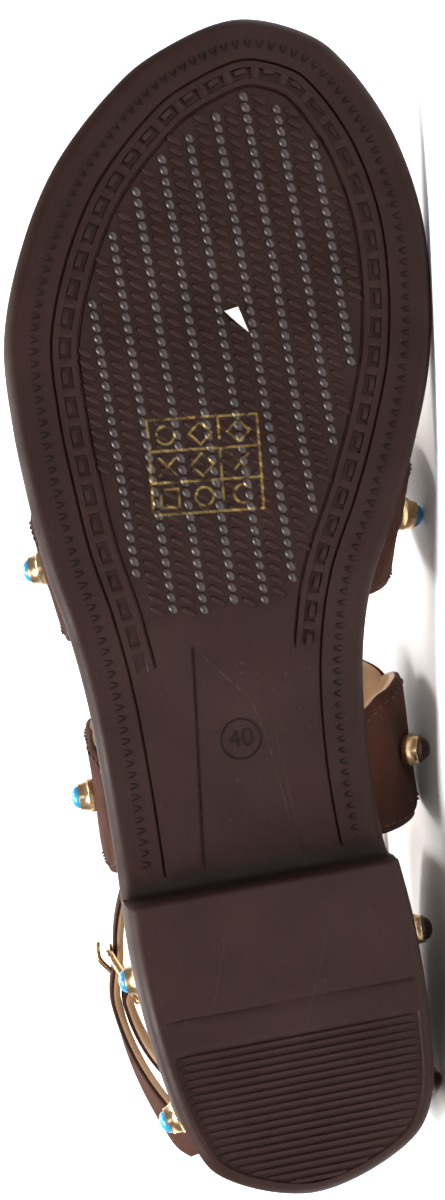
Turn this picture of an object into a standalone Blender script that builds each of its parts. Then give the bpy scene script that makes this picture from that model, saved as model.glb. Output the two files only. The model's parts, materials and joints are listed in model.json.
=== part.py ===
"""Flat strappy sandal, right foot, size 40: a moulded sole with a low block heel, an insole, two scalloped
straps, a scalloped heel counter, a buckled ankle strap and cabochon studs. It lies on its medial side.

The pieces are modelled in the shoe's own frame: the heel's axis is +Y towards the toe, +X is the lateral
side, +Z is up from the tread, and the origin is the rearmost point of the sole. An empty then turns the whole
shoe onto the flank that it rests on.
"""

import math

import bmesh
import bpy
import numpy as np
from mathutils import Matrix, Vector, geometry

MM = 0.001

# Driving sizes
SOLE_LENGTH = 262 * MM
BALL_WIDTH = 97 * MM
HEEL_LENGTH = 69.5 * MM
HEEL_HEIGHT = 20 * MM
SOLE_THICKNESS = 6 * MM
TOE_SPRING = 6 * MM
GROOVE_INSET = 9.6 * MM
GROOVE_WIDTH = 1.4 * MM
GROOVE_DEPTH = 0.7 * MM
INSOLE_THICKNESS = 3 * MM
STRAP_THICKNESS = 2.9 * MM
CLEARANCE = 0.3 * MM
STUD_GAP = 0.45 * MM
SOLE_RIM = 0.5 * MM
FLANK_SLOPE = 2.6 * MM
INSTEP_HEIGHT = 61 * MM
FRONT_STRAP_WIDTH = 29 * MM
INSTEP_STRAP_WIDTH = 32 * MM
NOTCH_DEPTH = 5 * MM
COUNTER_HEIGHT = 62 * MM
COUNTER_LENGTH = 66 * MM
COUNTER_LEAN = 3.5 * MM
COUNTER_STUD_HEIGHT = 9.5 * MM
TAB_HALF_WIDTH = 6.5 * MM
TAB_RISE = 74 * MM
ANKLE_HEIGHT = 64 * MM
ANKLE_STRAP_WIDTH = 13 * MM
ANKLE_STRAP_THICKNESS = 2.6 * MM
ANKLE_WIDTH = 67 * MM
ANKLE_DEPTH = 80 * MM
LOOP_HALF_WIDTH = 5 * MM
LOOP_WALL = 1.6 * MM
LOOP_FOOT = 3 * MM
LOOP_SEAT = 0.3 * MM
FOLD_TURN = 0.36
PIN_HOLE = 0.52
FREE_END_LENGTH = 42 * MM
FREE_END_CURL = 0.25
FREE_END_TWIST = 35
UPPER_LEAN = 0.07
BUCKLE_WIRE = 2 * MM
BUCKLE_LENGTH = 13 * MM
BUCKLE_STATION = 0.137
BUCKLE_PLAY = 0.35 * MM
PIN_WIRE = 1.4 * MM
STUD_RADIUS = 4 * MM
STUD_HEIGHT = 3.2 * MM
CABOCHON_RADIUS = 2.7 * MM
CABOCHON_HEIGHT = 5.1 * MM
LOBES = 5
FIRM_STRETCH = 2.4 * MM
POCKET_FLOOR = 4 * MM

# Outline of the sole: station is a share of the sole's length, the sides are shares of the ball's width
OUTLINE = (
    # station, lateral, medial
    (0.000, 0.000, 0.000),
    (0.030, 0.214, 0.246),
    (0.062, 0.263, 0.303),
    (0.120, 0.299, 0.326),
    (0.210, 0.323, 0.328),
    (0.300, 0.321, 0.306),
    (0.370, 0.323, 0.303),
    (0.440, 0.331, 0.319),
    (0.500, 0.350, 0.361),
    (0.560, 0.380, 0.443),
    (0.620, 0.394, 0.517),
    (0.680, 0.401, 0.576),
    (0.750, 0.390, 0.610),
    (0.820, 0.325, 0.614),
    (0.890, 0.215, 0.578),
    (0.950, 0.055, 0.502),
    (0.977, -0.054, 0.437),
    (1.000, -0.270, 0.270),
)
# Side profile: rise is a share of the heel's lift, spring is a share of the toe spring
PROFILE = (
    # station, rise, spring
    (0.00, 1.00, 0.00),
    (0.15, 0.97, 0.00),
    (0.27, 0.84, 0.00),
    (0.36, 0.60, 0.00),
    (0.45, 0.32, 0.00),
    (0.53, 0.10, 0.00),
    (0.60, 0.00, 0.00),
    (0.78, 0.00, 0.00),
    (0.88, 0.00, 0.30),
    (1.00, 0.00, 1.00),
)
# Front face of the heel: share of the waist's height above the ground, by the distance ahead of the heel
BREAST = (
    # ahead, share
    (-0.5 * MM, 0.00),
    (0.0 * MM, 0.05),
    (0.7 * MM, 0.88),
    (2.0 * MM, 0.97),
    (4.0 * MM, 1.00),
)
# Foot above the insole: height is a share of the instep height, the leans are shares of the ball's width
LAST = (
    # station, height, lateral lean, medial lean, ridge
    (0.25, 1.20, 0.06, 0.43, 0.52),
    (0.34, 1.09, 0.07, 0.43, 0.53),
    (0.40, 1.00, 0.07, 0.41, 0.54),
    (0.50, 0.86, 0.05, 0.27, 0.56),
    (0.57, 0.76, 0.04, 0.17, 0.57),
    (0.64, 0.67, 0.05, 0.12, 0.58),
    (0.72, 0.57, 0.06, 0.10, 0.58),
)
# Wall of the heel counter: how far it bulges and leans in, by its height as a share of the counter's height
COUNTER_WALL = (
    # height, bulge, lean
    (0.00, 0.00, 0.00),
    (0.09, 0.60, 0.00),
    (0.23, 1.00, 0.00),
    (0.42, 0.90, 0.15),
    (0.62, 0.55, 0.50),
    (0.82, 0.25, 0.85),
    (1.00, 0.10, 1.00),
    (1.30, 0.00, 1.00),
)
# Around the counter, from its lateral front edge to its medial one: bulge and height of the notches
COUNTER_ROUND = (
    # share, bulge, notch height
    (0.00, -3.0 * MM, 22 * MM),
    (0.20, -1.5 * MM, 27 * MM),
    (0.40, 0.8 * MM, 38 * MM),
    (0.60, 3.2 * MM, 38 * MM),
    (0.80, 5.3 * MM, 27 * MM),
    (1.00, 4.8 * MM, 22 * MM),
)
# Straps: stations of the two ends, and how far ahead of them the strap passes over the foot
FRONT_STRAP = {"lateral": 0.538, "medial": 0.538, "ahead": 0.075}
INSTEP_STRAP = {"lateral": 0.338, "medial": 0.332, "ahead": 0.055}
# Studs with a dark stone, counted from the lateral side; the others are turquoise
DARK_STONES = {"front_strap": (2, 4), "instep_strap": (2, 5), "heel_counter": (4, 5)}

# Pin of the buckle: share of the way from the bar to the front, level in thicknesses of the strap
PIN_PATH = (
    # share, level
    (0.30, 0.30),
    (0.62, 1.60),
    (0.88, 2.55),
    (1.12, 2.62),
)
# Pockets under the insole that lighten the heel: shares of the heel's length and of the ball's width
POCKETS = (
    # rear, front, inner side, outer side
    (0.18, 0.50, 0.02, 0.19),
    (0.55, 0.89, 0.02, 0.26),
)

COLOURS = {
    # base colour, roughness, metallic
    "brown_sole": ((0.062, 0.032, 0.026), 0.62, 0.0),
    "brown_suede": ((0.090, 0.030, 0.018), 0.95, 0.0),
    "tan_lining": ((0.52, 0.33, 0.19), 0.7, 0.0),
    "gold_metal": ((0.83, 0.58, 0.30), 0.22, 1.0),
    "turquoise": ((0.03, 0.38, 0.72), 0.25, 0.0),
    "brown_stone": ((0.060, 0.020, 0.008), 0.15, 0.0),
}


# Curves and tables
def smooth(table, column, at):
    """Value of a table's column at a first-column value: a cubic with no overshoot."""
    rows = np.array(table, float)
    x, y = rows[:, 0], rows[:, column]
    step = np.diff(x)
    slope = np.diff(y) / step
    turn = slope[:-1] * slope[1:] > 0
    tangent = np.zeros(len(x))
    both = np.where(turn, slope[:-1] + slope[1:], 1.0)
    tangent[1:-1] = np.where(turn, 2 * slope[:-1] * slope[1:] / both, 0.0)
    tangent[0], tangent[-1] = slope[0], slope[-1]
    at = np.clip(at, x[0], x[-1])
    span = np.clip(np.searchsorted(x, at, side="right") - 1, 0, len(step) - 1)
    t = (at - x[span]) / step[span]
    return (
        y[span] * (1 + 2 * t) * (1 - t) ** 2
        + y[span + 1] * t**2 * (3 - 2 * t)
        + tangent[span] * step[span] * t * (1 - t) ** 2
        - tangent[span + 1] * step[span] * t**2 * (1 - t)
    )


def closed_curve(points, per_span=24):
    """A round closed curve through the points (Catmull-Rom with chord lengths)."""
    p = np.array(points, float)
    before, after, beyond = np.roll(p, 1, 0), np.roll(p, -1, 0), np.roll(p, -2, 0)
    curve = []
    for a, b, c, d in zip(before, p, after, beyond):
        k0, k1, k2 = (np.linalg.norm(v) ** 0.5 for v in (b - a, c - b, d - c))
        m1 = (b - a) / k0 - (c - a) / (k0 + k1) + (c - b) / k1
        m2 = (c - b) / k1 - (d - b) / (k1 + k2) + (d - c) / k2
        for t in np.arange(per_span) / per_span:
            curve.append(
                b * (1 + 2 * t) * (1 - t) ** 2
                + c * t**2 * (3 - 2 * t)
                + m1 * k1 * t * (1 - t) ** 2
                - m2 * k1 * t**2 * (1 - t)
            )
    return np.array(curve)


def sole_curve():
    """Plan of the sole's widest edge: from the heel along the lateral side to the toe, and back."""
    lateral = [(row[1] * BALL_WIDTH, row[0] * SOLE_LENGTH) for row in OUTLINE]
    medial = [(-row[2] * BALL_WIDTH, row[0] * SOLE_LENGTH) for row in OUTLINE[-2:0:-1]]
    return closed_curve(lateral + medial)


def sole_sides():
    """The sole's curve as two branches from heel to toe, each with growing Y."""
    curve = sole_curve()
    heel, toe = np.argmin(curve[:, 1]), np.argmax(curve[:, 1])
    curve = np.roll(curve, -heel, 0)
    toe = (toe - heel) % len(curve)
    lateral = curve[: toe + 1]
    medial = np.vstack([curve[:1], curve[toe:][::-1]])
    return lateral, medial


LATERAL_SIDE, MEDIAL_SIDE = sole_sides()


def side_x(branch, y):
    return np.interp(y, branch[:, 1], branch[:, 0])


def waist_height(y):
    """Height of the sole's underside above the ground, left without its heel."""
    station = np.asarray(y) / SOLE_LENGTH
    lift = HEEL_HEIGHT - SOLE_THICKNESS
    return lift * smooth(PROFILE, 1, station) + TOE_SPRING * smooth(PROFILE, 2, station)


def top_height(y):
    return waist_height(y) + SOLE_THICKNESS


def breast_share(y):
    return np.interp(np.asarray(y) - HEEL_LENGTH, *np.array(BREAST).T)


def tread_height(y):
    return waist_height(y) * breast_share(y)


def outline_stations(count=44):
    """Stations crowded towards heel and toe, with the heel's front face among them."""
    low, high = LATERAL_SIDE[0, 1], LATERAL_SIDE[-1, 1]
    even = low + (high - low) * (1 - np.cos(np.linspace(0, math.pi, count))) / 2
    breast = HEEL_LENGTH + np.array(BREAST)[:, 0]
    away = np.abs(even[:, None] - breast[None, :]).min(1) > 2.5 * MM
    flat = SOLE_LENGTH * np.array([row[0] for row in PROFILE if row[1:] == (0.0, 0.0)])
    near = np.abs(even[:, None] - flat[None, :]).min(1) > 2.0 * MM
    return np.sort(np.concatenate([even[away & near], breast, flat]))


def outline_ring(inset, stations):
    """Ring of plan points at that inset: heel tip, lateral side, toe tip, medial side back."""
    inner = stations[1:-1]
    lateral = np.stack([side_x(LATERAL_SIDE, inner), inner], 1)
    medial = np.stack([side_x(MEDIAL_SIDE, inner), inner], 1)[::-1]
    ring = np.vstack([LATERAL_SIDE[:1], lateral, LATERAL_SIDE[-1:], medial])
    along = np.roll(ring, -1, 0) - np.roll(ring, 1, 0)
    along /= np.linalg.norm(along, axis=1)[:, None]
    inward = np.stack([-along[:, 1], along[:, 0]], 1)
    return ring + inset * inward


# Objects
def material(name):
    made = bpy.data.materials.get(name) or bpy.data.materials.new(name)
    colour, roughness, metallic = COLOURS[name]
    made.use_nodes = True
    shader = made.node_tree.nodes["Principled BSDF"]
    shader.inputs["Base Color"].default_value = (*colour, 1)
    shader.inputs["Roughness"].default_value = roughness
    shader.inputs["Metallic"].default_value = metallic
    return made


def put(name, mesh, finish, empty):
    """A mesh as a named, smoothly shaded part of the shoe."""
    made = bpy.data.objects.new(name, mesh)
    if not mesh.materials:
        mesh.materials.append(material(finish))
    bpy.data.collections["sandal"].objects.link(made)
    made.parent = empty
    return made


def box(name, size, place):
    """A box that is only used to cut with."""
    shape = bmesh.new()
    bmesh.ops.create_cube(shape, size=1)
    bmesh.ops.scale(shape, vec=size, verts=shape.verts)
    mesh = bpy.data.meshes.new(name)
    shape.to_mesh(mesh)
    shape.free()
    made = bpy.data.objects.new(name, mesh)
    bpy.data.collections["cutters"].objects.link(made)
    made.location = place
    made.hide_render = True
    made.display_type = "WIRE"
    return made


def cut(body, cutter):
    away = body.modifiers.new(cutter.name, "BOOLEAN")
    away.operation = "DIFFERENCE"
    away.solver = "EXACT"
    away.object = cutter


def mesh_of(name, points, faces):
    mesh = bpy.data.meshes.new(name)
    mesh.from_pydata([tuple(p) for p in points], [], faces)
    mesh.update()
    mesh.shade_smooth()
    mesh.set_sharp_from_angle(angle=math.radians(40))
    return mesh


def facing_out(mesh):
    """The same mesh with its faces turned outwards."""
    shape = bmesh.new()
    shape.from_mesh(mesh)
    bmesh.ops.recalc_face_normals(shape, faces=shape.faces)
    shape.to_mesh(mesh)
    shape.free()
    return mesh


def loft_rings(name, rings):
    """A closed solid between rings that start at the heel tip and pass the toe tip half way."""
    count = len(rings[0])
    half = count // 2
    points = np.vstack(rings)
    faces = []
    for level in range(len(rings) - 1):
        low, high = level * count, (level + 1) * count
        for i in range(count):
            j = (i + 1) % count
            faces.append((low + i, low + j, high + j, high + i))
    for start in (0, (len(rings) - 1) * count):
        faces.append((start, start + 1, start + count - 1))
        for i in range(1, half - 1):
            faces.append((start + i, start + i + 1, start + count - i - 1, start + count - i))
        faces.append((start + half - 1, start + half, start + half + 1))
    return facing_out(mesh_of(name, points, faces))


def shell_of(name, grid, thickness, finish, empty):
    """An open surface given as rows of points, thickened outwards by Solidify."""
    grid = np.array(grid)
    rows, columns = grid.shape[:2]
    faces = [
        (r * columns + c, r * columns + c + 1, (r + 1) * columns + c + 1, (r + 1) * columns + c)
        for r in range(rows - 1)
        for c in range(columns - 1)
    ]
    made = put(name, mesh_of(name, grid.reshape(-1, 3), faces), finish, empty)
    wall = made.modifiers.new("wall", "SOLIDIFY")
    wall.thickness = thickness
    wall.offset = 1
    wall.use_even_offset = True
    return made


# Sole and insole
def ring_at(inset, height, stations):
    """The outline at an inset, at the heights that a function gives for its Y."""
    plan = outline_ring(inset, stations)
    return np.column_stack([plan, height(plan[:, 1])])


def outsole(empty):
    stations = outline_stations()

    def groove(share):
        return lambda y: tread_height(y) + share * GROOVE_DEPTH * (breast_share(y) ** 9)

    edge = (
        # inset, height
        (GROOVE_INSET + GROOVE_WIDTH, groove(0)),
        (GROOVE_INSET + 0.75 * GROOVE_WIDTH, groove(1)),
        (GROOVE_INSET + 0.25 * GROOVE_WIDTH, groove(1)),
        (GROOVE_INSET, groove(0)),
        (FLANK_SLOPE, tread_height),
        (0.4 * FLANK_SLOPE, lambda y: tread_height(y) + 0.16 * SOLE_THICKNESS),
        (0, lambda y: tread_height(y) + 0.38 * SOLE_THICKNESS),
        (0.5 * SOLE_RIM, lambda y: top_height(y) - 0.12 * SOLE_THICKNESS),
        (SOLE_RIM, top_height),
    )
    rings = [ring_at(inset, height, stations) for inset, height in edge]
    sole = put("outsole", loft_rings("outsole", rings), "brown_sole", empty)
    for rear, front, inner, outer in POCKETS:
        for side in (-1, 1):
            low, high = POCKET_FLOOR, HEEL_HEIGHT + MM
            size = ((outer - inner) * BALL_WIDTH, (front - rear) * HEEL_LENGTH, high - low)
            x = side * (outer + inner) / 2 * BALL_WIDTH
            y = (front + rear) / 2 * HEEL_LENGTH
            name = f"pocket_{'front' if front > 0.5 else 'rear'}_{'lateral' if side > 0 else 'medial'}"
            hollow = box(name, size, (x, y, (low + high) / 2))
            hollow.parent = empty
            cut(sole, hollow)


def insole(empty):
    stations = outline_stations(36)
    inset = SOLE_RIM + STRAP_THICKNESS + CLEARANCE
    low = CLEARANCE
    high = CLEARANCE + INSOLE_THICKNESS
    edge = (
        # inset, height above the sole
        (inset + 0.6 * MM, low),
        (inset, low + 0.6 * MM),
        (inset, high - 1.0 * MM),
        (inset + 1.0 * MM, high),
    )
    rings = [ring_at(i, lambda y, h=h: top_height(y) + h, stations) for i, h in edge]
    put("insole", loft_rings("insole", rings), "tan_lining", empty)


# Straps over the foot
def foot_section(y, count=41):
    """Inner face of a strap at a station, from the lateral seat over the foot to the medial seat."""
    station = y / SOLE_LENGTH
    seat = top_height(y) + CLEARANCE
    rim = SOLE_RIM + STRAP_THICKNESS
    lateral = side_x(LATERAL_SIDE, y) - rim
    medial = side_x(MEDIAL_SIDE, y) + rim
    height = INSTEP_HEIGHT * smooth(LAST, 1, station) + INSOLE_THICKNESS
    ridge = lateral + (medial - lateral) * smooth(LAST, 4, station)
    t = np.linspace(0, 1, count)[:, None]
    halves = []
    for foot, lean in ((lateral, smooth(LAST, 2, station)), (medial, smooth(LAST, 3, station))):
        out = math.copysign(lean * BALL_WIDTH, foot - ridge)
        base = seat + FIRM_STRETCH
        corners = np.array(
            (
                (foot, base),
                (foot + out, base + 0.30 * height),
                (foot + 0.35 * (ridge - foot), base + height),
                (ridge, base + height),
            )
        )
        halves.append(
            corners[0] * (1 - t) ** 3
            + corners[1] * 3 * t * (1 - t) ** 2
            + corners[2] * 3 * t**2 * (1 - t)
            + corners[3] * t**3
        )
    curve = np.vstack([halves[0], halves[1][-2::-1]])
    length = np.concatenate([[0], np.cumsum(np.linalg.norm(np.diff(curve, axis=0), axis=1))])
    return curve, length / length[-1]


def on_foot(y, share):
    """Point of the strap's inner face at a station, at a share of the way over the foot."""
    curve, length = foot_section(y)
    return np.array((np.interp(share, length, curve[:, 0]), y, np.interp(share, length, curve[:, 1])))


def strap_middle(strap, share):
    """Station of a strap's centre line at a share of the way over the foot."""
    ends = strap["lateral"] + (strap["medial"] - strap["lateral"]) * share
    return SOLE_LENGTH * (ends + strap["ahead"] * math.sin(math.pi * share))


def lobe(share):
    """Scallop shape: 0 at a notch, 1 at the middle of each lobe."""
    across = 2 * ((share * LOBES) % 1) - 1
    return math.sqrt(max(0.0, 1 - across**2))


def strap_over_foot(name, strap, width, empty, columns_per_lobe=8, rows=5):
    shares = np.linspace(0, 1, LOBES * columns_per_lobe + 1)
    grid = []
    for row in np.linspace(-1, 1, rows):
        line = []
        for share in shares:
            half = width / 2 - NOTCH_DEPTH * (1 - lobe(share))
            line.append(on_foot(strap_middle(strap, share) + row * half, share))
        seats = []
        for point in (line[0], line[-1]):
            seats.append(point - np.array((0, 0, FIRM_STRETCH)))
        grid.append([seats[0], *line, seats[1]])
    shell_of(name, grid[::-1], STRAP_THICKNESS, "brown_suede", empty)
    for number in range(LOBES):
        share = (number + 0.5) / LOBES
        y = strap_middle(strap, share)
        here = on_foot(y, share)
        step = 0.01
        across = on_foot(y, share + step) - on_foot(y, share - step)
        along = on_foot(y + MM, share) - on_foot(y - MM, share)
        stud(name, number + 1, here, np.cross(along, across), empty)


# Heel counter
def counter_plan():
    """Plan curve of the sole's edge behind the counter's front edges, lateral to medial."""
    lateral = LATERAL_SIDE[LATERAL_SIDE[:, 1] < COUNTER_LENGTH][::-1]
    medial = MEDIAL_SIDE[MEDIAL_SIDE[:, 1] < COUNTER_LENGTH][1:]
    ends = [
        (side_x(side, COUNTER_LENGTH), COUNTER_LENGTH) for side in (LATERAL_SIDE, MEDIAL_SIDE)
    ]
    curve = np.vstack([ends[:1], lateral, medial, ends[1:]])
    length = np.concatenate([[0], np.cumsum(np.linalg.norm(np.diff(curve, axis=0), axis=1))])
    return curve, length


COUNTER_CURVE, COUNTER_LENGTHS = counter_plan()


def on_counter(share, height):
    """Point of the counter's inner face: a share of the way round, at a height above its seat."""
    total = COUNTER_LENGTHS[-1]
    here, ahead = (
        np.array([np.interp(s * total, COUNTER_LENGTHS, COUNTER_CURVE[:, k]) for k in (0, 1)])
        for s in (share, share + 0.002)
    )
    behind = np.array(
        [np.interp((share - 0.002) * total, COUNTER_LENGTHS, COUNTER_CURVE[:, k]) for k in (0, 1)]
    )
    along = ahead - behind
    outward = np.array((-along[1], along[0])) / np.linalg.norm(along)
    rise = max(0.0, height - FIRM_STRETCH)
    level = rise / COUNTER_HEIGHT
    reach = (
        smooth(COUNTER_ROUND, 1, share) * smooth(COUNTER_WALL, 1, level)
        - COUNTER_LEAN * smooth(COUNTER_WALL, 2, level)
        - SOLE_RIM
        - STRAP_THICKNESS
    )
    plan = here + outward * reach
    z = top_height(max(here[1], 0.0)) + CLEARANCE + height
    return np.array((plan[0] - UPPER_LEAN * rise, plan[1], z))


def counter_top(share):
    """Height of the counter's edge above its seat: scallops, and the tab at the back."""
    total = COUNTER_LENGTHS[-1]
    scallop = smooth(COUNTER_ROUND, 2, share) + NOTCH_DEPTH * lobe(share)
    off = abs(share - 0.5) * total - TAB_HALF_WIDTH
    side = 2 * MM
    return scallop + (TAB_RISE - scallop) * max(0.0, min(1.0, 1 - off / side))


def heel_counter(empty, columns_per_lobe=8, rows=9):
    total = COUNTER_LENGTHS[-1]
    tab = [TAB_HALF_WIDTH + extra * MM for extra in (0, 1.0, 2.0)]
    beside = [0.5 + side * off / total for off in tab for side in (-1, 1)]
    even = np.linspace(0, 1, LOBES * columns_per_lobe + 1)
    away = [s for s in even if min(abs(s - b) for b in beside) > 1.2 * MM / total]
    shares = sorted(away + beside)
    firm = FIRM_STRETCH
    grid = []
    for level in [0, *np.linspace(0, 1, rows)]:
        height = [firm + level * (counter_top(s) - firm) for s in shares] if grid else [0] * len(shares)
        grid.append([on_counter(s, h) for s, h in zip(shares, height)])
    shell_of("heel_counter", grid[::-1], STRAP_THICKNESS, "brown_suede", empty)
    for number in range(LOBES):
        share = (number + 0.5) / LOBES
        here = on_counter(share, COUNTER_STUD_HEIGHT)
        across = on_counter(share + 0.02, COUNTER_STUD_HEIGHT) - on_counter(share - 0.02, COUNTER_STUD_HEIGHT)
        up = on_counter(share, COUNTER_STUD_HEIGHT + MM) - on_counter(share, COUNTER_STUD_HEIGHT - MM)
        stud("heel_counter", number + 1, here, np.cross(up, across), empty)


# Studs
def turned(name, profile, steps=12):
    """A mesh turned from (radius, height) pairs that run from the top of the axis to its bottom."""
    mesh = bpy.data.meshes.new(name)
    edges = [(i, i + 1) for i in range(len(profile) - 1)]
    mesh.from_pydata([(r, 0, z) for r, z in profile], edges, [])
    holder = bpy.data.objects.new(name + "_profile", mesh)
    bpy.context.scene.collection.objects.link(holder)
    screw = holder.modifiers.new("turn", "SCREW")
    screw.steps = screw.render_steps = steps
    screw.use_merge_vertices = True
    screw.merge_threshold = 0.00001
    bpy.context.view_layer.update()
    graph = bpy.context.evaluated_depsgraph_get()
    made = bpy.data.meshes.new_from_object(holder.evaluated_get(graph))
    made.name = name
    bpy.data.objects.remove(holder)
    made.shade_smooth()
    made.set_sharp_from_angle(angle=math.radians(35))
    return facing_out(made)


def stud_meshes():
    floor = 1.8 * MM
    rim = 0.35 * MM
    cup = CABOCHON_RADIUS + CLEARANCE
    setting = (
        (0, floor),
        (cup, floor),
        (cup, STUD_HEIGHT),
        (cup + rim, STUD_HEIGHT),
        (STUD_RADIUS, 0.7 * MM),
        (STUD_RADIUS, 0),
        (0, 0),
    )
    low = floor + CLEARANCE
    dome = CABOCHON_HEIGHT - STUD_HEIGHT
    stone = [(0, CABOCHON_HEIGHT)]
    for angle in (30, 60):
        turn = math.radians(angle)
        stone.append((CABOCHON_RADIUS * math.sin(turn), STUD_HEIGHT + dome * math.cos(turn)))
    stone += [(CABOCHON_RADIUS, STUD_HEIGHT), (CABOCHON_RADIUS, low), (0, low)]
    return {
        "setting": turned("stud_setting", setting),
        "turquoise": turned("turquoise_stone", stone),
        "brown_stone": turned("brown_stone", stone),
    }


def stud(base, number, inner, outward, empty):
    """A gold setting with its cabochon, seated on a strap's outer face over a point of its inner face."""
    outward = Vector(outward).normalized()
    seat = Vector(inner) + outward * (STRAP_THICKNESS + STUD_GAP)
    finish = "brown_stone" if number in DARK_STONES[base] else "turquoise"
    turn = outward.to_track_quat("Z", "Y")
    for name, mesh, look in (
        (f"stud_setting_{base}_{number}", STUDS["setting"], "gold_metal"),
        (f"cabochon_{base}_{number}", STUDS[finish], finish),
    ):
        made = put(name, mesh, look, empty)
        made.location = seat
        made.rotation_mode = "QUATERNION"
        made.rotation_quaternion = turn


# Ankle strap and its buckle
def ankle_centre():
    """Centre of the ankle strap's oval, with the strap just outside the counter's tab."""
    low = ANKLE_HEIGHT - ANKLE_STRAP_WIDTH / 2
    tab = on_counter(0.5, low)
    y = tab[1] - STRAP_THICKNESS - 3 * CLEARANCE + ANKLE_DEPTH / 2
    return np.array((tab[0] + UPPER_LEAN * low, y))


def ankle_point(turn, level):
    """Plan point at an angle from the lateral side, at a level outside the strap's inner face."""
    a, b = ANKLE_WIDTH / 2, ANKLE_DEPTH / 2
    here = np.array((a * math.cos(turn), b * math.sin(turn)))
    outward = np.array((math.cos(turn) / a, math.sin(turn) / b))
    return ankle_centre() + here + level * outward / np.linalg.norm(outward)


def ankle_z(y):
    """Height of the strap's middle: it climbs a little towards the front."""
    climb = 6 * MM
    back = ankle_centre()[1] - ANKLE_DEPTH / 2
    return top_height(0.0) + ANKLE_HEIGHT + climb * (y - back) / ANKLE_DEPTH


def ankle_angle(y):
    """Angle on the lateral side at which the oval passes that Y."""
    return math.asin((y - ankle_centre()[1]) / (ANKLE_DEPTH / 2))


def bar_level():
    """Level of the buckle's pivot bar: in the fold at the strap's end."""
    return -(BUCKLE_WIRE / 2 + BUCKLE_PLAY)


def ankle_path():
    """Centre line of the ankle strap: plan points and the tilt of the strap's face at each."""
    half = ANKLE_STRAP_THICKNESS / 2
    bar = ankle_angle(SOLE_LENGTH * BUCKLE_STATION)
    front = ankle_angle(SOLE_LENGTH * BUCKLE_STATION + BUCKLE_LENGTH)
    folded = bar_level() - (BUCKLE_WIRE / 2 + BUCKLE_PLAY + half)
    path = [ankle_point(bar - FOLD_TURN * share, folded) for share in np.linspace(1, 0, 5)]
    centre = ankle_point(bar, bar_level())
    inner = ankle_point(bar, folded) - centre
    for angle in np.linspace(0, math.pi, 9)[1:-1]:
        c, s = math.cos(angle), math.sin(angle)
        path.append(centre + np.array((inner[0] * c + inner[1] * s, inner[1] * c - inner[0] * s)))
    path += [ankle_point(turn, half) for turn in np.linspace(bar, front - 2 * math.pi, 49)]
    over = half + ANKLE_STRAP_THICKNESS + BUCKLE_PLAY
    for share in np.linspace(0, 1, 8)[1:]:
        ease = share * share * (3 - 2 * share)
        path.append(ankle_point(front + (bar - front) * share, half + (over - half) * ease))
    tilt = [0.0] * len(path)
    leave = (path[-1] - path[-2]) / np.linalg.norm(path[-1] - path[-2])
    inward = np.array((leave[1], -leave[0]))
    start = path[-1]
    for share in np.linspace(0, 1, 12)[1:]:
        run = FREE_END_LENGTH * share
        path.append(start + leave * run + inward * FREE_END_CURL * FREE_END_LENGTH * share**2)
        tilt.append(math.radians(FREE_END_TWIST) * share**1.5)
    return np.array(path), tilt


def strap_frame(path):
    """Direction to the outside of the ankle at each point of the path."""
    along = np.gradient(path, axis=0)
    along /= np.linalg.norm(along, axis=1)[:, None]
    return np.stack([along[:, 1], -along[:, 0]], 1)


def leaning(plan, z):
    """A point of the ankle strap, with the lean that the whole upper has."""
    lean = UPPER_LEAN * (z - top_height(0.0))
    return Vector((plan[0] - lean, plan[1], z))


def ankle_strap(empty):
    path, tilt = ankle_path()
    outward = strap_frame(path)
    half, wall = ANKLE_STRAP_WIDTH / 2, ANKLE_STRAP_THICKNESS / 2
    points, faces = [], []
    for here, out, angle in zip(path, outward, tilt):
        c, s = math.cos(angle), math.sin(angle)
        for side, rise in ((-wall, -half), (wall, -half), (wall, half), (-wall, half)):
            plan = here + out * (side * c - rise * s)
            points.append(leaning(plan, ankle_z(here[1]) + side * s + rise * c))
    last = len(path) - 1
    for i in range(last):
        for k in range(4):
            j = (k + 1) % 4
            faces.append((4 * i + k, 4 * i + j, 4 * i + 4 + j, 4 * i + 4 + k))
    faces.append((0, 1, 2, 3))
    faces.append((4 * last, 4 * last + 1, 4 * last + 2, 4 * last + 3))
    strap = put("ankle_strap", facing_out(mesh_of("ankle_strap", points, faces)), "brown_suede", empty)
    bar = ankle_angle(SOLE_LENGTH * BUCKLE_STATION)
    front = ankle_angle(SOLE_LENGTH * BUCKLE_STATION + BUCKLE_LENGTH)
    middle = bar + (front - bar) * PIN_HOLE
    here = ankle_point(middle, ANKLE_STRAP_THICKNESS)
    length = 0.5 * BUCKLE_LENGTH
    width = PIN_WIRE + 2 * CLEARANCE
    hole = box("pin_hole", (4 * ANKLE_STRAP_THICKNESS, length, width), leaning(here, ankle_z(here[1])))
    hole.rotation_euler = (0, 0, middle)
    hole.parent = empty
    cut(strap, hole)


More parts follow.
